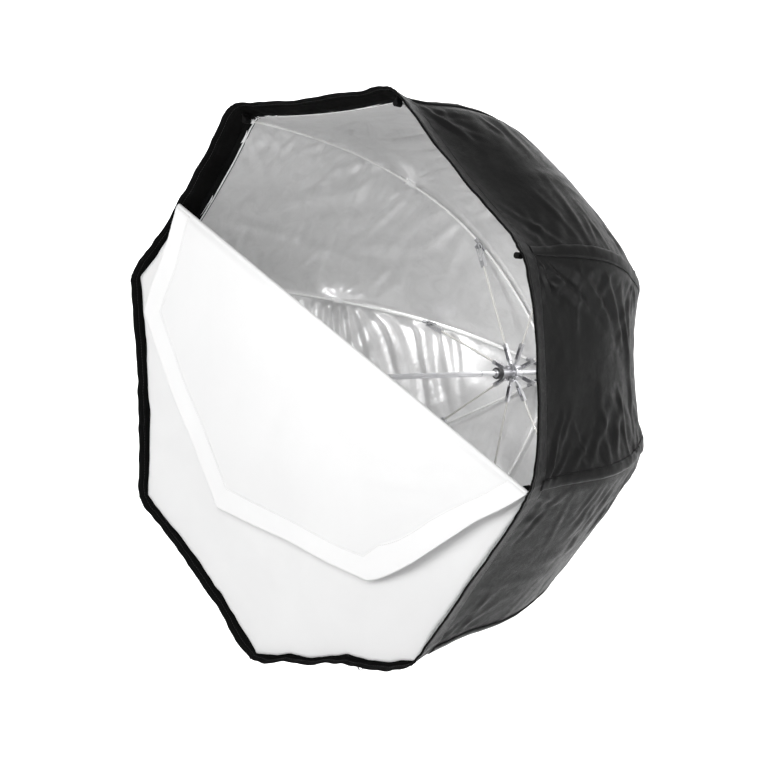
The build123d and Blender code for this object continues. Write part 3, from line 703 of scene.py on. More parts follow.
sect = [(47, 0.9), (45.5, 1.6), (40, 1.6), (34, 1.1), (28, 0.9), (20, 0.8), (13, 0.8), (9.6, 1.0), (8.2, 0.1), (6.8, 1.1), (4, 1.7), (1.6, 1.6), (0.2, 0.7), (0.0, -0.4),
        (1.0, -1.5), (3.5, -1.9), (6.8, -1.5), (8.2, -0.6), (9.6, -1.2), (14, -1.1), (20, -1.0), (28, -1.0), (35, -1.1), (40, -1.4), (45.5, -1.9), (47, -1.2)]
rows = [lip_surface(s, t)[0] for s, t in sect]
G = np.stack(rows)                                        # closed loop of rows
m_ = len(sect)
lf = []
for i in range(m_):
    q = (i + 1) % m_
    j = np.arange(NC)
    k = (j + 1) % NC
    lf += np.stack([i * NC + j, i * NC + k, q * NC + k, q * NC + j], 1).tolist()
luv = np.stack([np.broadcast_to((COL_G * 330.0 + COL_U * 330.0)[None], (m_, NC)), np.repeat(np.arange(m_)[:, None] * 4.0, NC, 1)], 2).reshape(-1, 2) * MM
# the front edge and inside of the band take the darker nylon copy, painted shade
lip_kind = np.repeat([1 if 10 < i < m_ - 1 else 0 for i in range(m_)], NC)
lip = new_object("lip_band_cloth", G.reshape(-1, 3) * MM, lf, uvs=luv, mats=[M_BLACK, M_LIP_SHADED], face_mat=lip_kind)
skin(lip)
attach(lip, "shaft")
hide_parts("lip_band")

# silver lining's edge, turned over the seam as a thin light piping
pr = [(43.4, -1.3), (43.4, -1.9), (45.2, -2.1), (46.2, -1.5)]
G2 = np.stack([lip_surface(s, t)[0] for s, t in pr])
pf = []
for i in range(4):
    q = (i + 1) % 4
    j = np.arange(NC)
    k = (j + 1) % NC
    pf += np.stack([i * NC + j, q * NC + j, q * NC + k, i * NC + k], 1).tolist()
pip = new_object("lining_edge_piping", G2.reshape(-1, 3) * MM, pf, mats=[M_SILVER])
skin(pip)
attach(pip, "shaft")


def stitch_row(name, place, n_step_mm, length, width, mat, lift):
    """Row of raised thread stitches round the ring; place(col) gives points and up vectors."""
    vs, fs = [], []
    P, Nn = place
    seg = np.linalg.norm(np.roll(P, -1, 0) - P, axis=1)
    cum = np.concatenate([[0], np.cumsum(seg)])
    total = cum[-1]
    cnt = int(total / n_step_mm)
    Pc = np.vstack([P, P[:1]])
    Nc_ = np.vstack([Nn, Nn[:1]])
    for q in range(cnt):
        s0 = q * n_step_mm
        pts, ns_ = [], []
        for f in (0, 0.25, 0.75, 1.0):
            s = s0 + f * length
            pts.append([np.interp(s % total, cum, Pc[:, c]) for c in range(3)])
            ns_.append([np.interp(s % total, cum, Nc_[:, c]) for c in range(3)])
        pts, ns_ = np.array(pts), np.array(ns_)
        t = pts[-1] - pts[0]
        t /= np.linalg.norm(t) + 1e-9
        b = np.cross(t, ns_[0])
        b /= np.linalg.norm(b) + 1e-9
        up = ns_ / np.linalg.norm(ns_, axis=1)[:, None]
        h = np.array([-0.15, lift, lift, -0.15])[:, None]
        base = len(vs)
        for r in range(4):
            c0 = pts[r] + up[r] * h[r]
            w = width * (0.5 if r in (0, 3) else 1.0)
            vs += [c0 + b * w * 0.5, c0 + up[r] * 0.25 * width, c0 - b * w * 0.5, c0 - up[r] * 0.35 * width]
        for r in range(3):
            for j in range(4):
                k = (j + 1) % 4
                fs.append((base + r * 4 + j, base + r * 4 + k, base + (r + 1) * 4 + k, base + (r + 1) * 4 + j))
        fs.append((base + 3, base + 2, base + 1, base))
        fs.append((base + 12, base + 13, base + 14, base + 15))
    return vs, fs


up_out = EC * math.cos(0.4)
sv, sf = [], []
for s_, t_, sg in ((8.2, 0.35, 1.0), (8.2, -0.85, -1.0), (41.5, 1.5, 1.0)):
    P = lip_surface(s_, t_)[0]
    a, b = stitch_row("x", (P, EC * sg), 4.2, 3.0, 0.75, M_THREAD, 0.25)
    o = len(sv)
    sv += a
    sf += [tuple(o + i for i in f) for f in b]
st = new_object("hem_stitches", np.array(sv) * MM, sf, mats=[M_THREAD])
skin(st)
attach(st, "shaft")

# loop tape inside the lip
lt = [(12, -1.3), (11.5, -2.1), (13, -2.7), (20, -2.9), (26, -2.8), (32, -2.7), (33.6, -2.1), (33, -1.3)]
G3 = np.stack([lip_surface(s, t)[0] for s, t in lt])
fz = 0.25 * (np.random.RandomState(3).uniform(-1, 1, G3.shape[:2]))
fz[[0, -1]] = 0
G3 = G3 + fz[..., None] * EC[None]
tf = []
for i in range(len(lt)):
    q = (i + 1) % len(lt)
    j = np.arange(NC)
    k = (j + 1) % NC
    tf += np.stack([i * NC + j, q * NC + j, q * NC + k, i * NC + k], 1).tolist()
tuv = np.stack([np.broadcast_to((COL_G * 330.0 + COL_U * 330.0)[None], G3.shape[:2]), np.repeat(np.arange(len(lt))[:, None] * 3.0, NC, 1)], 2).reshape(-1, 2) * MM
loop = new_object("loop_tape_pile", G3.reshape(-1, 3) * MM, tf, uvs=tuv, mats=[M_LOOP])
skin(loop)
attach(loop, "shaft")
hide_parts("loop_tape")

# ------------------------------------------------------------------ rib centre line, for the pieces tied to it
RIB_LINE = [(10.0, 479.0), (172.91, 436.11), (291.95, 334.69), (367.84, 183.86), (406.0, 20.0)]


def rib_points():
    """Points and directions along a rib, (distance from the axis, distance behind the front edge)."""
    a = math.radians(-3.658)
    t = (math.cos(a), math.sin(a))
    p, out = RIB_LINE[0], []
    for q in RIB_LINE[1:]:
        cx, cy = q[0] - p[0], q[1] - p[1]
        n = (-t[1], t[0])
        l2 = cx * cx + cy * cy
        k = 2 * (cx * n[0] + cy * n[1]) / l2
        o = (p[0] + n[0] / k, p[1] + n[1] / k)
        sw = 2 * math.asin(math.sqrt(l2) * k / 2)
        v = (p[0] - o[0], p[1] - o[1])
        for f in np.linspace(0, 1, 80, endpoint=False):
            c, s = math.cos(sw * f), math.sin(sw * f)
            out.append((o[0] + c * v[0] - s * v[1], o[1] + s * v[0] + c * v[1], c * t[0] - s * t[1], s * t[0] + c * t[1]))
        c, s = math.cos(sw), math.sin(sw)
        t = (c * t[0] - s * t[1], s * t[0] + c * t[1])
        p = q
    out.append((p[0], p[1], t[0], t[1]))
    return np.array(out)


RP = rib_points()


def wrap_piece(name, k, r_at, width, rad, tail, flare, mat, seed):
    """Strip of webbing wrapped round rib k and sewn outward of it."""
    i = int(np.argmin(abs(RP[:, 0] - r_at)))
    pr, py, tr, ty = RP[i]
    e, up3 = E[k], np.array([0, 1.0, 0])
    T = tr * e + ty * up3
    Nn = -ty * e + tr * up3
    B = np.cross(T, Nn)
    P = pr * e + (py + FRONT) * up3
    r_ = np.random.RandomState(seed)
    out = []
    rows = np.array([-1, -0.97, -0.85, -0.5, 0, 0.5, 0.85, 0.97, 1]) * width / 2
    for ri, w in enumerate(rows):
        sc = 0.9 if ri in (0, len(rows) - 1) else 1.0
        pts = []
        for ang in np.radians(np.linspace(48, 312, 15)):
            pts.append((rad * sc * math.cos(ang), rad * sc * math.sin(ang)))
        fl = flare * (0.35 + 0.65 * abs(w) / (width / 2))
        for f, hw in ((0.25, 1.2), (0.6, 1.0), (0.9, 1.3), (1.0, 1.6)):
            pts.append((rad + (tail - rad) * f, -hw * sc - fl * f * 0.25))
        for f, hw in ((1.0, 1.6), (0.9, 1.3), (0.6, 1.0), (0.25, 1.2)):
            pts.append((rad + (tail - rad) * f, hw * sc + fl * f * 0.25))
        out.append([P + T * (w * (1 + 0.12 * min(1, max(0, a / tail)))) + Nn * (a + 0.2 * r_.uniform(-1, 1)) + B * (b + 0.2 * r_.uniform(-1, 1)) for a, b in pts])
    g = np.array(out)
    nr, m = g.shape[:2]
    fs = []
    for a in range(nr - 1):
        for j in range(m):
            q = (j + 1) % m
            fs.append((a * m + j, (a + 1) * m + j, (a + 1) * m + q, a * m + q))
    fs.append(tuple(range(m)))
    fs.append(tuple((nr - 1) * m + m - 1 - j for j in range(m)))
    ob = new_object(name, g.reshape(-1, 3) * MM, fs, mats=[mat])
    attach(ob, f"rib_{k + 1}" if mat is M_TIE else "shaft")
    return ob


def lining_gap(k, r_at):
    """Distance from rib k to the lining beside it."""
    i = int(np.argmin(abs(RP[:, 0] - r_at)))
    q = RP[i, 0] * E[k] + (RP[i, 1] + FRONT) * np.array([0, 1.0, 0])
    return float(np.linalg.norm(inner[:, k * NU] - q, axis=1).min())


for k in range(N):
    t = wrap_piece(f"rib_tie_{k + 1}", k, 307.0, 15.0, 3.9, lining_gap(k, 307.0) + 0.6, 5.0, M_TIE, 60 + k)
    p = wrap_piece(f"tip_pocket_{k + 1}", k, 405.3, 11.0, 4.4, 10.0, 1.2, M_LIP2, 80 + k)
    skin(p)
    if k == 0:
        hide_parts("rib_ties")
        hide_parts("tip_pockets")

# ------------------------------------------------------------------ diffuser
RIM_IN_R = 423.5
FOLD_A = np.array([-292.8, 260.5])
FOLD_B = RIM_IN_R * np.array([math.cos(math.radians(337.5)), math.sin(math.radians(337.5))])
FL = float(np.linalg.norm(FOLD_B - FOLD_A))
FDIR = (FOLD_B - FOLD_A) / FL
FNRM = np.array([-FDIR[1], FDIR[0]])                      # toward the open upper right
fold_y = FRONT + 9.2
ROLL_R = 3.2


def oct_corner(deg):
    return RIM_IN_R * np.array([math.cos(math.radians(deg)), math.sin(math.radians(deg))])


def fold_target(x, y, z):
    """Where a point of the diffuser goes when the frame is fully folded, millimetres."""
    th = math.radians(35.5)
    r = np.hypot(x, z)
    g, u = gore_place(x, z)
    phc = np.radians(45.0 * (g + 1))
    ph = np.arctan2(z, x)
    Ro = RIM_IN_R * math.cos(HALF) / np.cos(ph - phc)
    q = r / Ro
    rim = np.stack([Ro * np.cos(ph), y, Ro * np.sin(ph)], -1)

    def turned(k):
        e = E[k % N]
        rad = rim @ e if e.ndim == 1 else (rim * e).sum(-1)
        tan = rim - rad[..., None] * e
        yy = rim[..., 1]
        tan[..., 1] = 0
        a, b = rad - 10.0, yy - (FRONT + 479.0)
        a2 = a * math.cos(th) + b * math.sin(th)
        b2 = -a * math.sin(th) + b * math.cos(th)
        out = tan + (a2 + 10.0)[..., None] * e
        out[..., 1] = b2 + FRONT + 479.0
        return out

    p = (1 - u)[..., None] * turned(g) + u[..., None] * turned(g + 1)
    qq = q[..., None]
    out = p * qq
    deep = 150.0 * (1 - np.clip(q, 0, 1) ** 1.3)
    out[..., 1] = p[..., 1] + deep
    return out


lat_data = bpy.data.lattices.new("diffuser_gather")
lat_data.points_u, lat_data.points_v, lat_data.points_w = 49, 3, 49
lat_data.interpolation_type_u = lat_data.interpolation_type_v = lat_data.interpolation_type_w = "KEY_LINEAR"
lat = bpy.data.objects.new("diffuser_gather", lat_data)
coll.objects.link(lat)
lo3 = np.array([-470.0, FRONT - 40.0, -470.0])
hi3 = np.array([470.0, FRONT + 60.0, 470.0])
cen, siz = (lo3 + hi3) / 2, hi3 - lo3
lat.location = Vector(cen * MM)
lat.scale = Vector(siz * MM)
lat.shape_key_add(name="Basis")
key = lat.shape_key_add(name="folded")
base_co = np.array([p.co for p in lat_data.points])
wpt = base_co * siz + cen
tgt = fold_target(wpt[:, 0], wpt[:, 1], wpt[:, 2])
new_co = (tgt - cen) / siz
for i, p in enumerate(key.data):
    p.co = new_co[i]
dr = key.driver_add("value").driver
dr.type = "SCRIPTED"
var = dr.variables.new()
var.name = "run"
var.type = "TRANSFORMS"
var.targets[0].id = frame["bodies"]["runner"]
var.targets[0].transform_type = "LOC_Y"
var.targets[0].transform_space = "WORLD_SPACE"
dr.expression = "run * -4.16320"


def gather(ob):
    m = ob.modifiers.new("gather_with_frame", "LATTICE")
    m.object = lat
    return ob


# lower part, fastened to the lip
def edge_bow(g, u):
    """How the rim's bow shifts the diffuser's edge: (back, inward)."""
    c = 4 * u * (1 - u)
    at_col = (g + u) * NU
    wave = np.interp(at_col, np.arange(NC), EDGE_WAVE)
    inset = np.interp(at_col, np.arange(NC), 2.6 + 2.4 * noise1(np.arange(NC) * 3.267, 61, 38) + 1.0 * noise1(np.arange(NC) * 3.267, 62, 14))
    return BOW_BACK[g] * c ** 0.75 * 0.9, BOW_IN[g] * c + 0.7 * wave + np.maximum(inset, 0.2) * np.minimum(1, 0.35 + c)


loop_pts = []
outline = [FOLD_A - FNRM * 0.0] + [oct_corner(a) for a in (157.5, 202.5, 247.5, 292.5, 337.5)]
for a, b in zip(outline, outline[1:] + [outline[0]]):
    n = max(2, int(np.linalg.norm(b - a) / 6.5))
    for f in np.arange(n) / n:
        loop_pts.append(a + (b - a) * f)
loop_pts = np.array(loop_pts)
on_fold = abs((loop_pts - FOLD_A) @ FNRM) < 1e-6
gg, uu = gore_place(loop_pts[:, 0], loop_pts[:, 1])
bb, bi = edge_bow(gg, uu)
bb, bi = np.where(on_fold, 0, bb), np.where(on_fold, 0, bi)
ecs = np.array([[math.cos(math.radians(45.0 * (g + 1))), math.sin(math.radians(45.0 * (g + 1)))] for g in gg])
rimp = loop_pts - ecs * bi[:, None]
cen2 = np.array([-95.0, -120.0])
M_R = 64
tt = np.linspace(0.0, 1.0, M_R) ** 0.85
PG = cen2[None, None] + tt[:, None, None] * (rimp - cen2)[None]


def panel_y(x, z, edge_back, t):
    """Front-to-back place of the lower part's surface."""
    d = (x - FOLD_A[0]) * FNRM[0] + (z - FOLD_A[1]) * FNRM[1]
    a = (x - FOLD_A[0]) * FDIR[0] + (z - FOLD_A[1]) * FDIR[1]
    y = fold_y + ROLL_R + 7.0 * np.sin(np.pi * np.clip(-d / 420.0, 0, 1)) ** 1.2 * (1 - t ** 3)
    w = 0.9 * noise2(x, z, 301, 120) + 0.35 * noise2(x, z, 302, 45)
    for (x0, z0, ang, L, wd, am) in [(-250, 180, -75, 330, 16, 1.3), (-300, 60, -60, 300, 14, 1.1), (330, -190, 208, 380, 15, 1.4), (300, -230, 215, 330, 11, 1.0),
                                     (-330, -120, -35, 260, 13, 1.2), (-120, -350, 62, 260, 12, 1.3), (80, -360, 98, 240, 13, 1.0), (-200, -290, 35, 300, 16, 1.1)]:
        w = w + ridge(x, z, x0, z0, ang, L, wd, am)
    return y + w * (1 - t ** 4) + edge_back * t ** 5 + 0.8 * t ** 40 * smooth(0, 25, -d)


T_ = np.broadcast_to(tt[:, None], PG.shape[:2])
PY = panel_y(PG[..., 0], PG[..., 1], bb[None], T_)
front_g = np.stack([PG[..., 0], PY, PG[..., 1]], 2)
back_g = front_g + np.array([0, 0.55, 0])


def disc_shell(fg, bg):
    """Closed sheet from a radial grid whose first ring is one point."""
    m, n = fg.shape[:2]
    fv = np.concatenate([fg[0, :1], fg[1:].reshape(-1, 3)])
    bv_ = np.concatenate([bg[0, :1], bg[1:].reshape(-1, 3)])
    o = len(fv)
    fs = []
    j = np.arange(n)
    k = (j + 1) % n
    fs += np.stack([np.zeros(n, int), 1 + k, 1 + j], 1).tolist()
    fs += np.stack([np.full(n, o), o + 1 + j, o + 1 + k], 1).tolist()
    for i in range(m - 2):
        a, b = 1 + i * n, 1 + (i + 1) * n
        fs += np.stack([a + j, a + k, b + k, b + j], 1).tolist()
        fs += np.stack([o + a + j, o + b + j, o + b + k, o + a + k], 1).tolist()
    e = 1 + (m - 2) * n
    fs += np.stack([e + j, e + k, o + e + k, o + e + j], 1).tolist()
    return np.concatenate([fv, bv_]), fs


pv, pf_ = disc_shell(front_g, back_g)
# the lower part takes the darker copy of the diffuser cloth, painted shade
panel = new_object("diffuser_lower", pv * MM, pf_, mats=[M_PANEL_SHADED])
gather(panel)
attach(panel, "shaft")
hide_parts("diffuser_panel")

# flap: peeled from the upper right and folded over
FLAP = [(0.0, 0.0)]
for a in (112.5, 67.5, 22.5):
    q = oct_corner(a) - FOLD_A
    FLAP.append((float(q @ FDIR), float(q @ FNRM)))
FLAP.append((FL, 0.0))
ha, hd = np.array([p[0] for p in FLAP]), np.array([p[1] for p in FLAP])
cols_a = []
for p, q in zip(FLAP, FLAP[1:]):
    L = math.hypot(q[0] - p[0], q[1] - p[1])
    n = max(4, int(L / 5.5))
    cols_a += [p[0] + (q[0] - p[0]) * f for f in np.arange(n) / n]
cols_a = np.array(cols_a + [FL])
cols_a[0] = 0.4
cols_a[-1] = FL - 0.4
H = np.interp(cols_a, ha, hd)


def flap_out(a, d):
    """How far the folded flap stands forward of its lowest place, millimetres."""
    e = np.interp(a, ha, hd)
    q = np.clip(d / np.maximum(e, 1), 0, 1)
    y = 4.5 * np.exp(-((d - 16) / 24.0) ** 2) * smooth(0, 60, a) * smooth(0, 60, FL - a) * smooth(0, 8, d)
    y = y + 3.4 * smooth(0.72, 1.0, q) * smooth(560, 720, a) * (1 - smooth(770, 804, a))       # lifted hem near the right end
    y = y + 1.6 * smooth(0.8, 1.0, q) * (0.5 + 0.5 * np.sin(a / 37.0))
    w = 1.2 * noise2(a, d, 401, 130) + 0.4 * noise2(a, d, 402, 48)
    for (a0, d0, ang, L, wd, am) in [(20, 10, 62, 220, 12, 1.5), (60, 20, 48, 330, 14, 1.3), (790, 12, 150, 360, 12, 1.6), (770, 20, 134, 330, 14, 1.5),
                                     (700, 15, 112, 260, 15, 1.1), (330, 330, -80, 240, 14, 1.0), (620, 262, 215, 260, 13, 1.2), (150, 200, -30, 260, 12, 0.9),
                                     (250, 30, 82, 240, 16, 1.1), (480, 20, 100, 260, 15, 1.2)]:
        w = w + ridge(a, d, a0, d0, ang, L, wd, am)
    y = y + (w + 1.6) * smooth(0, 30, d)
    for ca, cd in FLAP[1:4]:
        y = y * (1 - np.exp(-(np.hypot(a - ca, d - cd) / 50.0) ** 3))
    return y


rows_b = np.concatenate([np.linspace(0, 0.1, 8)[1:], np.linspace(0.1, 1, 52)[1:]])
pts_f, wts = [], []
roll = [(math.sin(t) * ROLL_R, math.cos(t) * ROLL_R) for t in np.linspace(0, math.pi, 9)]
grid = []
for dn, dy in roll:                                        # from the lower part's plane round to the flap's
    grid.append(np.stack([cols_a, np.full_like(cols_a, dn * -1.0), np.full_like(cols_a, dy)], 1))
lead = [np.stack([cols_a, np.full_like(cols_a, 5.0), np.full_like(cols_a, ROLL_R + 0.1)], 1)]
for b_ in rows_b:
    d_ = b_ * H
    grid.append(np.stack([cols_a, d_, -ROLL_R - flap_out(cols_a, d_)], 1))
G4 = np.array(lead + grid)                                 # rows, columns, (along, folded distance, y)


def flap_world(g):
    """Folded: distance runs back over the lower part."""
    loose = smooth(0, 90, g[..., 1])
    wa = 3.0 * noise2(g[..., 0], g[..., 1], 501, 95) * loose
    wd_ = (4.0 * noise2(g[..., 0], g[..., 1], 502, 80) - 1.5) * loose
    g = np.stack([g[..., 0] + wa, g[..., 1] + wd_, g[..., 2]], -1)
    x = FOLD_A[0] + FDIR[0] * g[..., 0] - FNRM[0] * g[..., 1]
    z = FOLD_A[1] + FDIR[1] * g[..., 0] - FNRM[1] * g[..., 1]
    return np.stack([x, fold_y + g[..., 2], z], -1)


def open_shell(fg, bg):
    """Closed sheet from an open grid and its offset."""
    m, n = fg.shape[:2]
    o = m * n
    fs = []
    i, j = np.meshgrid(np.arange(m - 1), np.arange(n - 1), indexing="ij")
    i, j = i.ravel(), j.ravel()
    a, b, c, d = i * n + j, i * n + j + 1, (i + 1) * n + j + 1, (i + 1) * n + j
    fs += np.stack([a, b, c, d], 1).tolist()
    fs += np.stack([o + a, o + d, o + c, o + b], 1).tolist()
    j = np.arange(n - 1)
    fs += np.stack([j, o + j, o + j + 1, j + 1], 1).tolist()
    e = (m - 1) * n
    fs += np.stack([e + j, e + j + 1, o + e + j + 1, o + e + j], 1).tolist()
    i = np.arange(m - 1) * n
    fs += np.stack([i, i + n, o + i + n, o + i], 1).tolist()
    i = i + n - 1
    fs += np.stack([i, o + i, o + i + n, i + n], 1).tolist()
    return np.concatenate([fg.reshape(-1, 3), bg.reshape(-1, 3)]), fs


W4 = flap_world(G4)
n4 = np.cross(np.gradient(W4, axis=1), np.gradient(W4, axis=0))
n4 /= np.maximum(np.linalg.norm(n4, axis=2, keepdims=True), 1e-9)
if n4[-5, 60, 1] > 0:
    n4 = -n4
fv, ff = open_shell(W4 + n4 * 0.25, W4 - n4 * 0.25)
flap = new_object("diffuser_flap_cloth", fv * MM, ff, mats=[M_DIFF])

# hem round the flap's free edge
HEM = 33.0
FP = np.array(FLAP)


def offset_line(P, w):
    out = []
    nrm_, dd = [], []
    for p, q in zip(P, P[1:]):
        t = (q - p) / np.linalg.norm(q - p)
        nrm_.append(np.array([t[1], -t[0]]))
        dd.append(t)
    for i, p in enumerate(P):
        if i == 0:
            # start on the fold line
            s = (0 - (p + nrm_[0] * w)[1]) / dd[0][1]
            out.append(p + nrm_[0] * w + dd[0] * s)
        elif i == len(P) - 1:
            s = (0 - (p + nrm_[-1] * w)[1]) / dd[-1][1]
            out.append(p + nrm_[-1] * w + dd[-1] * s)
        else:
            n0, n1 = nrm_[i - 1], nrm_[i]
            b = (n0 + n1) / np.linalg.norm(n0 + n1)
            out.append(p + b * w / (b @ n0))
    return np.array(out)


IN = offset_line(FP, HEM)
hem_rows = [(0.0, -0.6), (-0.012, 0.35), (0.03, 1.0), (0.12, 1.15), (0.5, 1.0), (0.88, 1.15), (0.93, 0.75), (0.96, 1.0), (1.0, 0.1)]
ho, hi_ = [], []
for i in range(4):
    n = max(3, int(np.linalg.norm(FP[i + 1] - FP[i]) / 5.5))
    fr = np.arange(n) / n if i < 3 else np.arange(n + 1) / n
    for f in fr:
        ho.append(FP[i] + (FP[i + 1] - FP[i]) * f)
        hi_.append(IN[i] + (IN[i + 1] - IN[i]) * f)
ho, hi_ = np.array(ho), np.array(hi_)
HG = []
for f, lift in hem_rows:
    q = ho + (hi_ - ho) * f
    q[:, 1] = np.maximum(q[:, 1], 0.0)
    HG.append(np.stack([q[:, 0], q[:, 1], -ROLL_R - flap_out(q[:, 0], q[:, 1]) - 0.25 - lift * smooth(0, 6, q[:, 1])], 1))
HG = np.array(HG)
HW = flap_world(HG)
hb = HW.copy()
hb[..., 1] = flap_world(np.stack([HG[..., 0], HG[..., 1], -ROLL_R - flap_out(HG[..., 0], HG[..., 1]) + 0.3], 2))[..., 1]
hv, hf = open_shell(HW, hb)
hem = new_object("diffuser_hem_cloth", hv * MM, hf, mats=[M_HEM])
hs_p = ho + (hi_ - ho) * 0.93
hs_w = flap_world(np.stack([hs_p[:, 0], np.maximum(hs_p[:, 1], 0), -ROLL_R - flap_out(hs_p[:, 0], np.maximum(hs_p[:, 1], 0)) - 1.15], 1))

# the flap slides a little along its fold while it lies folded, and its right edge follows the rim when closed
bpy.context.view_layer.objects.active = arm
bpy.ops.object.mode_set(mode="EDIT")
for name in ("flap_slide", "flap_rim", "flap_keep"):
    b = arm.data.edit_bones.new(name)
    b.head, b.tail, b.roll = (0, 0, 0), (0, 1, 0), 0
bpy.ops.object.mode_set(mode="OBJECT")
flap_body = frame["bodies"]["diffuser_flap"]
flap_body.rotation_mode = "QUATERNION"


def drive(bone, axis, expr):
    d = arm.pose.bones[bone].driver_add("location", axis).driver
    d.type = "SCRIPTED"
    v = d.variables.new()
    v.name = "w"
    v.type = "TRANSFORMS"
    v.targets[0].id = flap_body
    v.targets[0].transform_type = "ROT_W"
    v.targets[0].rotation_mode = "QUATERNION"
    v.targets[0].transform_space = "WORLD_SPACE"
    d.expression = expr


SLIDE = 33.0
slide_v = -FDIR * SLIDE + FNRM * 9.0
drive("flap_slide", 0, f"w * w * {slide_v[0] * MM:.6f}")
drive("flap_slide", 2, f"w * w * {slide_v[1] * MM:.6f}")
drive("flap_rim", 1, f"(1 - w * w) * {BOW_BACK[7] * 0.9 * MM:.6f}")


def flap_skin(ob, along_dist):
    a, d = along_dist[:, 0], along_dist[:, 1]
    q = np.clip(d / np.maximum(np.interp(a, ha, hd), 1), 0, 1)
    sl = smooth(10, 200, d)
    # right edge: between the corner at 22.5 degrees and the fold's lower end
    on = smooth(FLAP[3][0] - 40, FLAP[3][0] + 60, a)
    f = np.clip((a - FLAP[3][0]) / (FL - FLAP[3][0]), 0, 1)
    rim = (4 * f * (1 - f)) ** 0.75 * smooth(0.35, 1.0, q)
    ws = {"flap_slide": sl * (1 - rim * 0.5), "flap_rim": rim}
    tot = sl * (1 - rim * 0.5) + rim
    over = np.maximum(tot, 1.0)
    ws = {k: v / over for k, v in ws.items()}
    ws["flap_keep"] = np.clip(1 - sum(ws.values()), 0, 1)
    for nm, w in ws.items():
        vg = ob.vertex_groups.new(name=nm)
        qv = np.round(w * 100).astype(int)
        for lvl in np.unique(qv):
            if lvl > 0:
                vg.add(np.nonzero(qv == lvl)[0].tolist(), float(lvl) / 100, "REPLACE")
    m = ob.modifiers.new("flap_slip", "ARMATURE")
    m.object = arm


def flap_fit(ob):
    co = np.array([v.co for v in ob.data.vertices]) / MM
    rel = np.stack([co[:, 0], co[:, 2]], 1) - FOLD_A
    ad = np.stack([rel @ FDIR, -(rel @ FNRM)], 1)
    flap_skin(ob, ad)
    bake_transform(ob)
    gather(ob)


hs_n = np.tile(np.array([[0, -1.0, 0]]), (len(hs_w), 1))


def stitch_line(P, Nn, step, length, width, lift):
    vs_, fs_ = [], []
    seg = np.linalg.norm(np.diff(P, axis=0), axis=1)
    cum = np.concatenate([[0], np.cumsum(seg)])
    for q in range(int(cum[-1] / step)):
        s0 = q * step
        ss = np.array([s0, s0 + 0.25 * length, s0 + 0.75 * length, s0 + length])
        pts = np.stack([np.interp(ss, cum, P[:, c]) for c in range(3)], 1)
        t = pts[-1] - pts[0]
        t /= np.linalg.norm(t) + 1e-9
        up_ = Nn[0]
        b = np.cross(t, up_)
        base = len(vs_)
        h = [-0.1, lift, lift, -0.1]
        for r in range(4):
            c0 = pts[r] + up_ * h[r]
            w = width * (0.5 if r in (0, 3) else 1.0)
            vs_ += [c0 + b * w * 0.5, c0 + up_ * 0.25 * width, c0 - b * w * 0.5, c0 - up_ * 0.35 * width]
        for r in range(3):
            for j in range(4):
                k = (j + 1) % 4
                fs_.append((base + r * 4 + j, base + r * 4 + k, base + (r + 1) * 4 + k, base + (r + 1) * 4 + j))
        fs_.append((base + 3, base + 2, base + 1, base))
        fs_.append((base + 12, base + 13, base + 14, base + 15))
    return vs_, fs_


hsv, hsf = stitch_line(hs_w, hs_n, 3.6, 2.7, 0.6, 0.15)
hst = new_object("diffuser_hem_stitches", np.array(hsv) * MM, hsf, mats=[M_THREAD_W])
for ob in (flap, hem, hst):
    flap_fit(ob)
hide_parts("diffuser_flap")

# ------------------------------------------------------------------ zip in the bottom gore
zc_ = 5 * NU + NU // 2
rows = np.nonzero((line[:, 1] < 350) & (line[:, 1] > 43))[0]
zp = outer[rows, zc_].copy()
al = np.gradient(zp, axis=0)
al /= np.linalg.norm(al, axis=1)[:, None]
side = np.tile(np.array([[1.0, 0, 0]]), (len(rows), 1))
zn = np.cross(side, al)
zn *= np.sign(-(zn[:, 2]))[:, None]
prof = [(-12.5, -0.4), (-12.5, 0.5), (-11.2, 0.95), (-4, 0.8), (-2.8, 0.9), (2.8, 0.9), (4, 0.8), (11.2, 0.95), (12.5, 0.5), (12.5, -0.4)]
zs = np.stack([zp + side * p[0] + zn * p[1] for p in prof], 1)
zf = []
m_ = len(prof)
for i in range(len(rows) - 1):
    for j in range(m_):
        q = (j + 1) % m_
        zf.append((i * m_ + j, i * m_ + q, (i + 1) * m_ + q, (i + 1) * m_ + j))
zf.append(tuple(range(m_)))
zf.append(tuple((len(rows) - 1) * m_ + m_ - 1 - j for j in range(m_)))
zt = new_object("zip_tape_cloth", zs.reshape(-1, 3) * MM, zf, mats=[M_LOOP2])
skin(zt)
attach(zt, "shaft")
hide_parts("zip_tape")
# teeth
cum = np.concatenate([[0], np.cumsum(np.linalg.norm(np.diff(zp, axis=0), axis=1))])
tv, tf2 = [], []
cntt = int((cum[-1] - 8) / 1.5)
for q in range(cntt):
    s0 = 4 + q * 1.5
    c0 = np.array([np.interp(s0, cum, zp[:, c]) for c in range(3)])
    n0 = np.array([np.interp(s0, cum, zn[:, c]) for c in range(3)])
    t0_ = np.array([np.interp(s0, cum, al[:, c]) for c in range(3)])
    sgn = 1 if q % 2 else -1
    base = len(tv)
    for dx, ww in ((-0.5, 0.55), (0.9, 0.62), (2.4, 0.5)):
        for dn, dt in ((0.7, -ww), (2.0, -ww * 0.8), (2.0, ww * 0.8), (0.7, ww)):
            tv.append(c0 + np.array([1.0, 0, 0]) * sgn * dx + n0 * dn + t0_ * dt)
    for r in range(2):
        for j in range(4):
            k = (j + 1) % 4
            tf2.append((base + r * 4 + j, base + (r + 1) * 4 + j, base + (r + 1) * 4 + k, base + r * 4 + k))
    tf2.append((base, base + 1, base + 2, base + 3))
    tf2.append((base + 11, base + 10, base + 9, base + 8))
teeth = new_object("zip_teeth", np.array(tv) * MM, tf2, smooth_faces=False, mats=[M_PLASTIC2])
skin(teeth)
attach(teeth, "shaft")
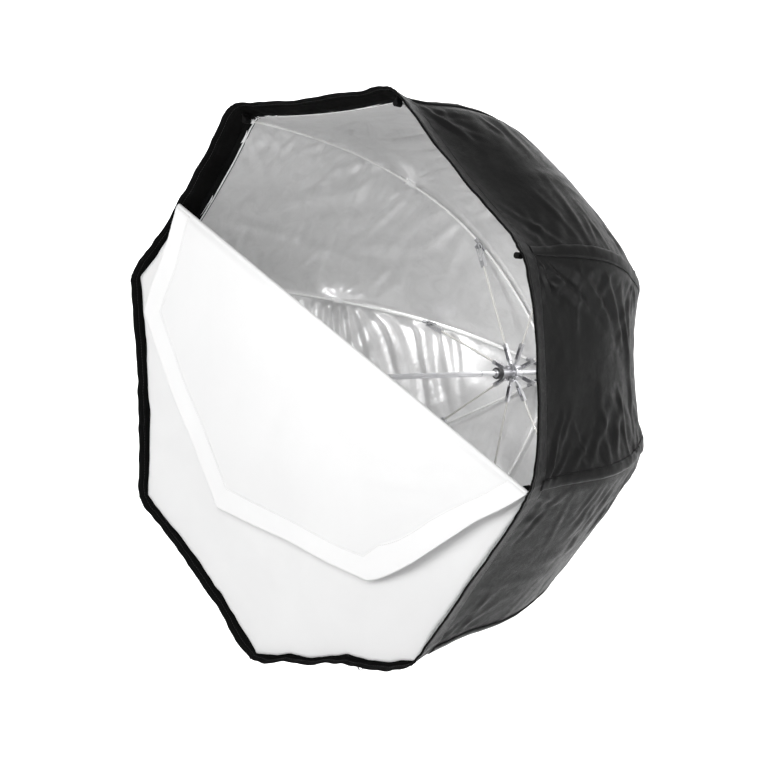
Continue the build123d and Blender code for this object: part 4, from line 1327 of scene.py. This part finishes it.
# slider and pull keep their CAD shape, follow the cloth, and get worn nickel
for nm in ("zip_slider", "zip_pull"):
    src = NODES[nm]
    me = src.data.copy()
    me.materials.clear()
    me.materials.append(M_ZIP)
    ob = bpy.data.objects.new(nm + "_metal", me)
    coll.objects.link(ob)
    vg6, vg7 = ob.vertex_groups.new(name="rib_6"), ob.vertex_groups.new(name="rib_7")
    ids = list(range(len(me.vertices)))
    vg6.add(ids, 0.5, "REPLACE")
    vg7.add(ids, 0.5, "REPLACE")
    md = ob.modifiers.new("follow_ribs", "ARMATURE")
    md.object = arm
    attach(ob, nm)
    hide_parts(nm)

# ------------------------------------------------------------------ stage, light, camera
def stage_mesh():
    """Floor that curves up into a back wall."""
    prof = [(-6.0, -1.15)]
    for a in np.linspace(0, math.pi / 2, 13):
        prof.append((4.2 + 1.6 * math.sin(a), -1.15 + 1.6 * (1 - math.cos(a))))
    prof.append((5.8, 6.0))
    vs, fs = [], []
    for y, z in prof:
        vs += [(-9.0, y, z), (9.0, y, z)]
    for i in range(len(prof) - 1):
        fs.append((2 * i, 2 * i + 1, 2 * i + 3, 2 * i + 2))
    return vs, fs


AZ, EL, ROLL, DIST, TX, TZ, FPX = 46.03, 0.0, -2.02, 5169.2, 87.606, -0.767, 3695.5
az, el, rl = math.radians(AZ), math.radians(EL), math.radians(ROLL)
back = np.array([math.sin(az) * math.cos(el), -math.cos(az) * math.cos(el), math.sin(el)])
right = np.cross([0, 0, 1.0], back)
right /= np.linalg.norm(right)
up = np.cross(back, right)
Rv = math.cos(rl) * right + math.sin(rl) * up
Uv = -math.sin(rl) * right + math.cos(rl) * up
Cp = back * DIST + Rv * TX + Uv * TZ + np.array([0, FRONT, 0])

vs, fs = stage_mesh()
floor = new_object("floor", vs, fs)
# the sweep faces the camera's direction
floor.rotation_euler = (0, 0, math.atan2(-back[1], -back[0]) - math.pi / 2)
mf, nt, b = nodes_of("pale_floor")
oc = nt.nodes.new("ShaderNodeTexCoord").outputs["Object"]
fc = ramp(nt, noise_tex(nt, oc, 3, 3), [(0.3, 0.90), (0.7, 0.93)])
nt.links.new(fc, b.inputs["Base Color"])
b.inputs["Roughness"].default_value = 0.9
floor.data.materials.append(mf)

world = bpy.data.worlds.new("studio")
scene.world = world
world.use_nodes = True
world.node_tree.nodes["Background"].inputs[0].default_value = (1, 1, 1, 1)
world.node_tree.nodes["Background"].inputs[1].default_value = 0.38


def area(name, pos, target, size, power):
    l = bpy.data.lights.new(name, "AREA")
    l.shape = "RECTANGLE"
    l.size, l.size_y = size
    l.energy = power
    o = bpy.data.objects.new(name, l)
    o.location = pos
    d = Vector(target) - Vector(pos)
    o.rotation_euler = d.to_track_quat("-Z", "Y").to_euler()
    coll.objects.link(o)
    return o


def at(azd, eld, dist, y0=-0.05):
    a, e = math.radians(azd), math.radians(eld)
    return (math.sin(a) * math.cos(e) * dist, -math.cos(a) * math.cos(e) * dist + y0, math.sin(e) * dist)


area("key_front", at(28, 20, 3.2), (0, -0.1, 0), (1.3, 1.3), 37)
area("fill_left", at(-38, 8, 3.0), (0.1, 0.1, 0), (1.0, 1.6), 30)
area("side_right", at(96, -14, 3.2), (0.2, 0, 0), (1.0, 1.6), 52)
area("wall_wash", (-2.6, 1.2, 2.4), (-3.6, 5.0, 0.2), (4.0, 2.0), 330)

spot = bpy.data.lights.new("into_the_box", "SPOT")
spot.energy, spot.spot_size, spot.spot_blend, spot.shadow_soft_size = 225, math.radians(14), 0.75, 0.3
so = bpy.data.objects.new("into_the_box", spot)
so.location = at(22, 14, 3.3)
so.rotation_euler = (Vector((0.15, 0.05, 0.17)) - so.location).to_track_quat("-Z", "Y").to_euler()
coll.objects.link(so)

cam = bpy.data.cameras.new("cam")
cam.sensor_width = 36.0
cam.lens = FPX / 760.0 * 36.0
cam.clip_start, cam.clip_end = 0.05, 60
co = bpy.data.objects.new("cam", cam)
coll.objects.link(co)
m = Matrix.Identity(4)
for i in range(3):
    m[i][0], m[i][1], m[i][2], m[i][3] = Rv[i], Uv[i], back[i], Cp[i] * MM
co.matrix_world = m
scene.camera = co
scene.view_settings.view_transform = "Standard"
scene.view_settings.look = "None"
scene.view_settings.exposure = 0.0
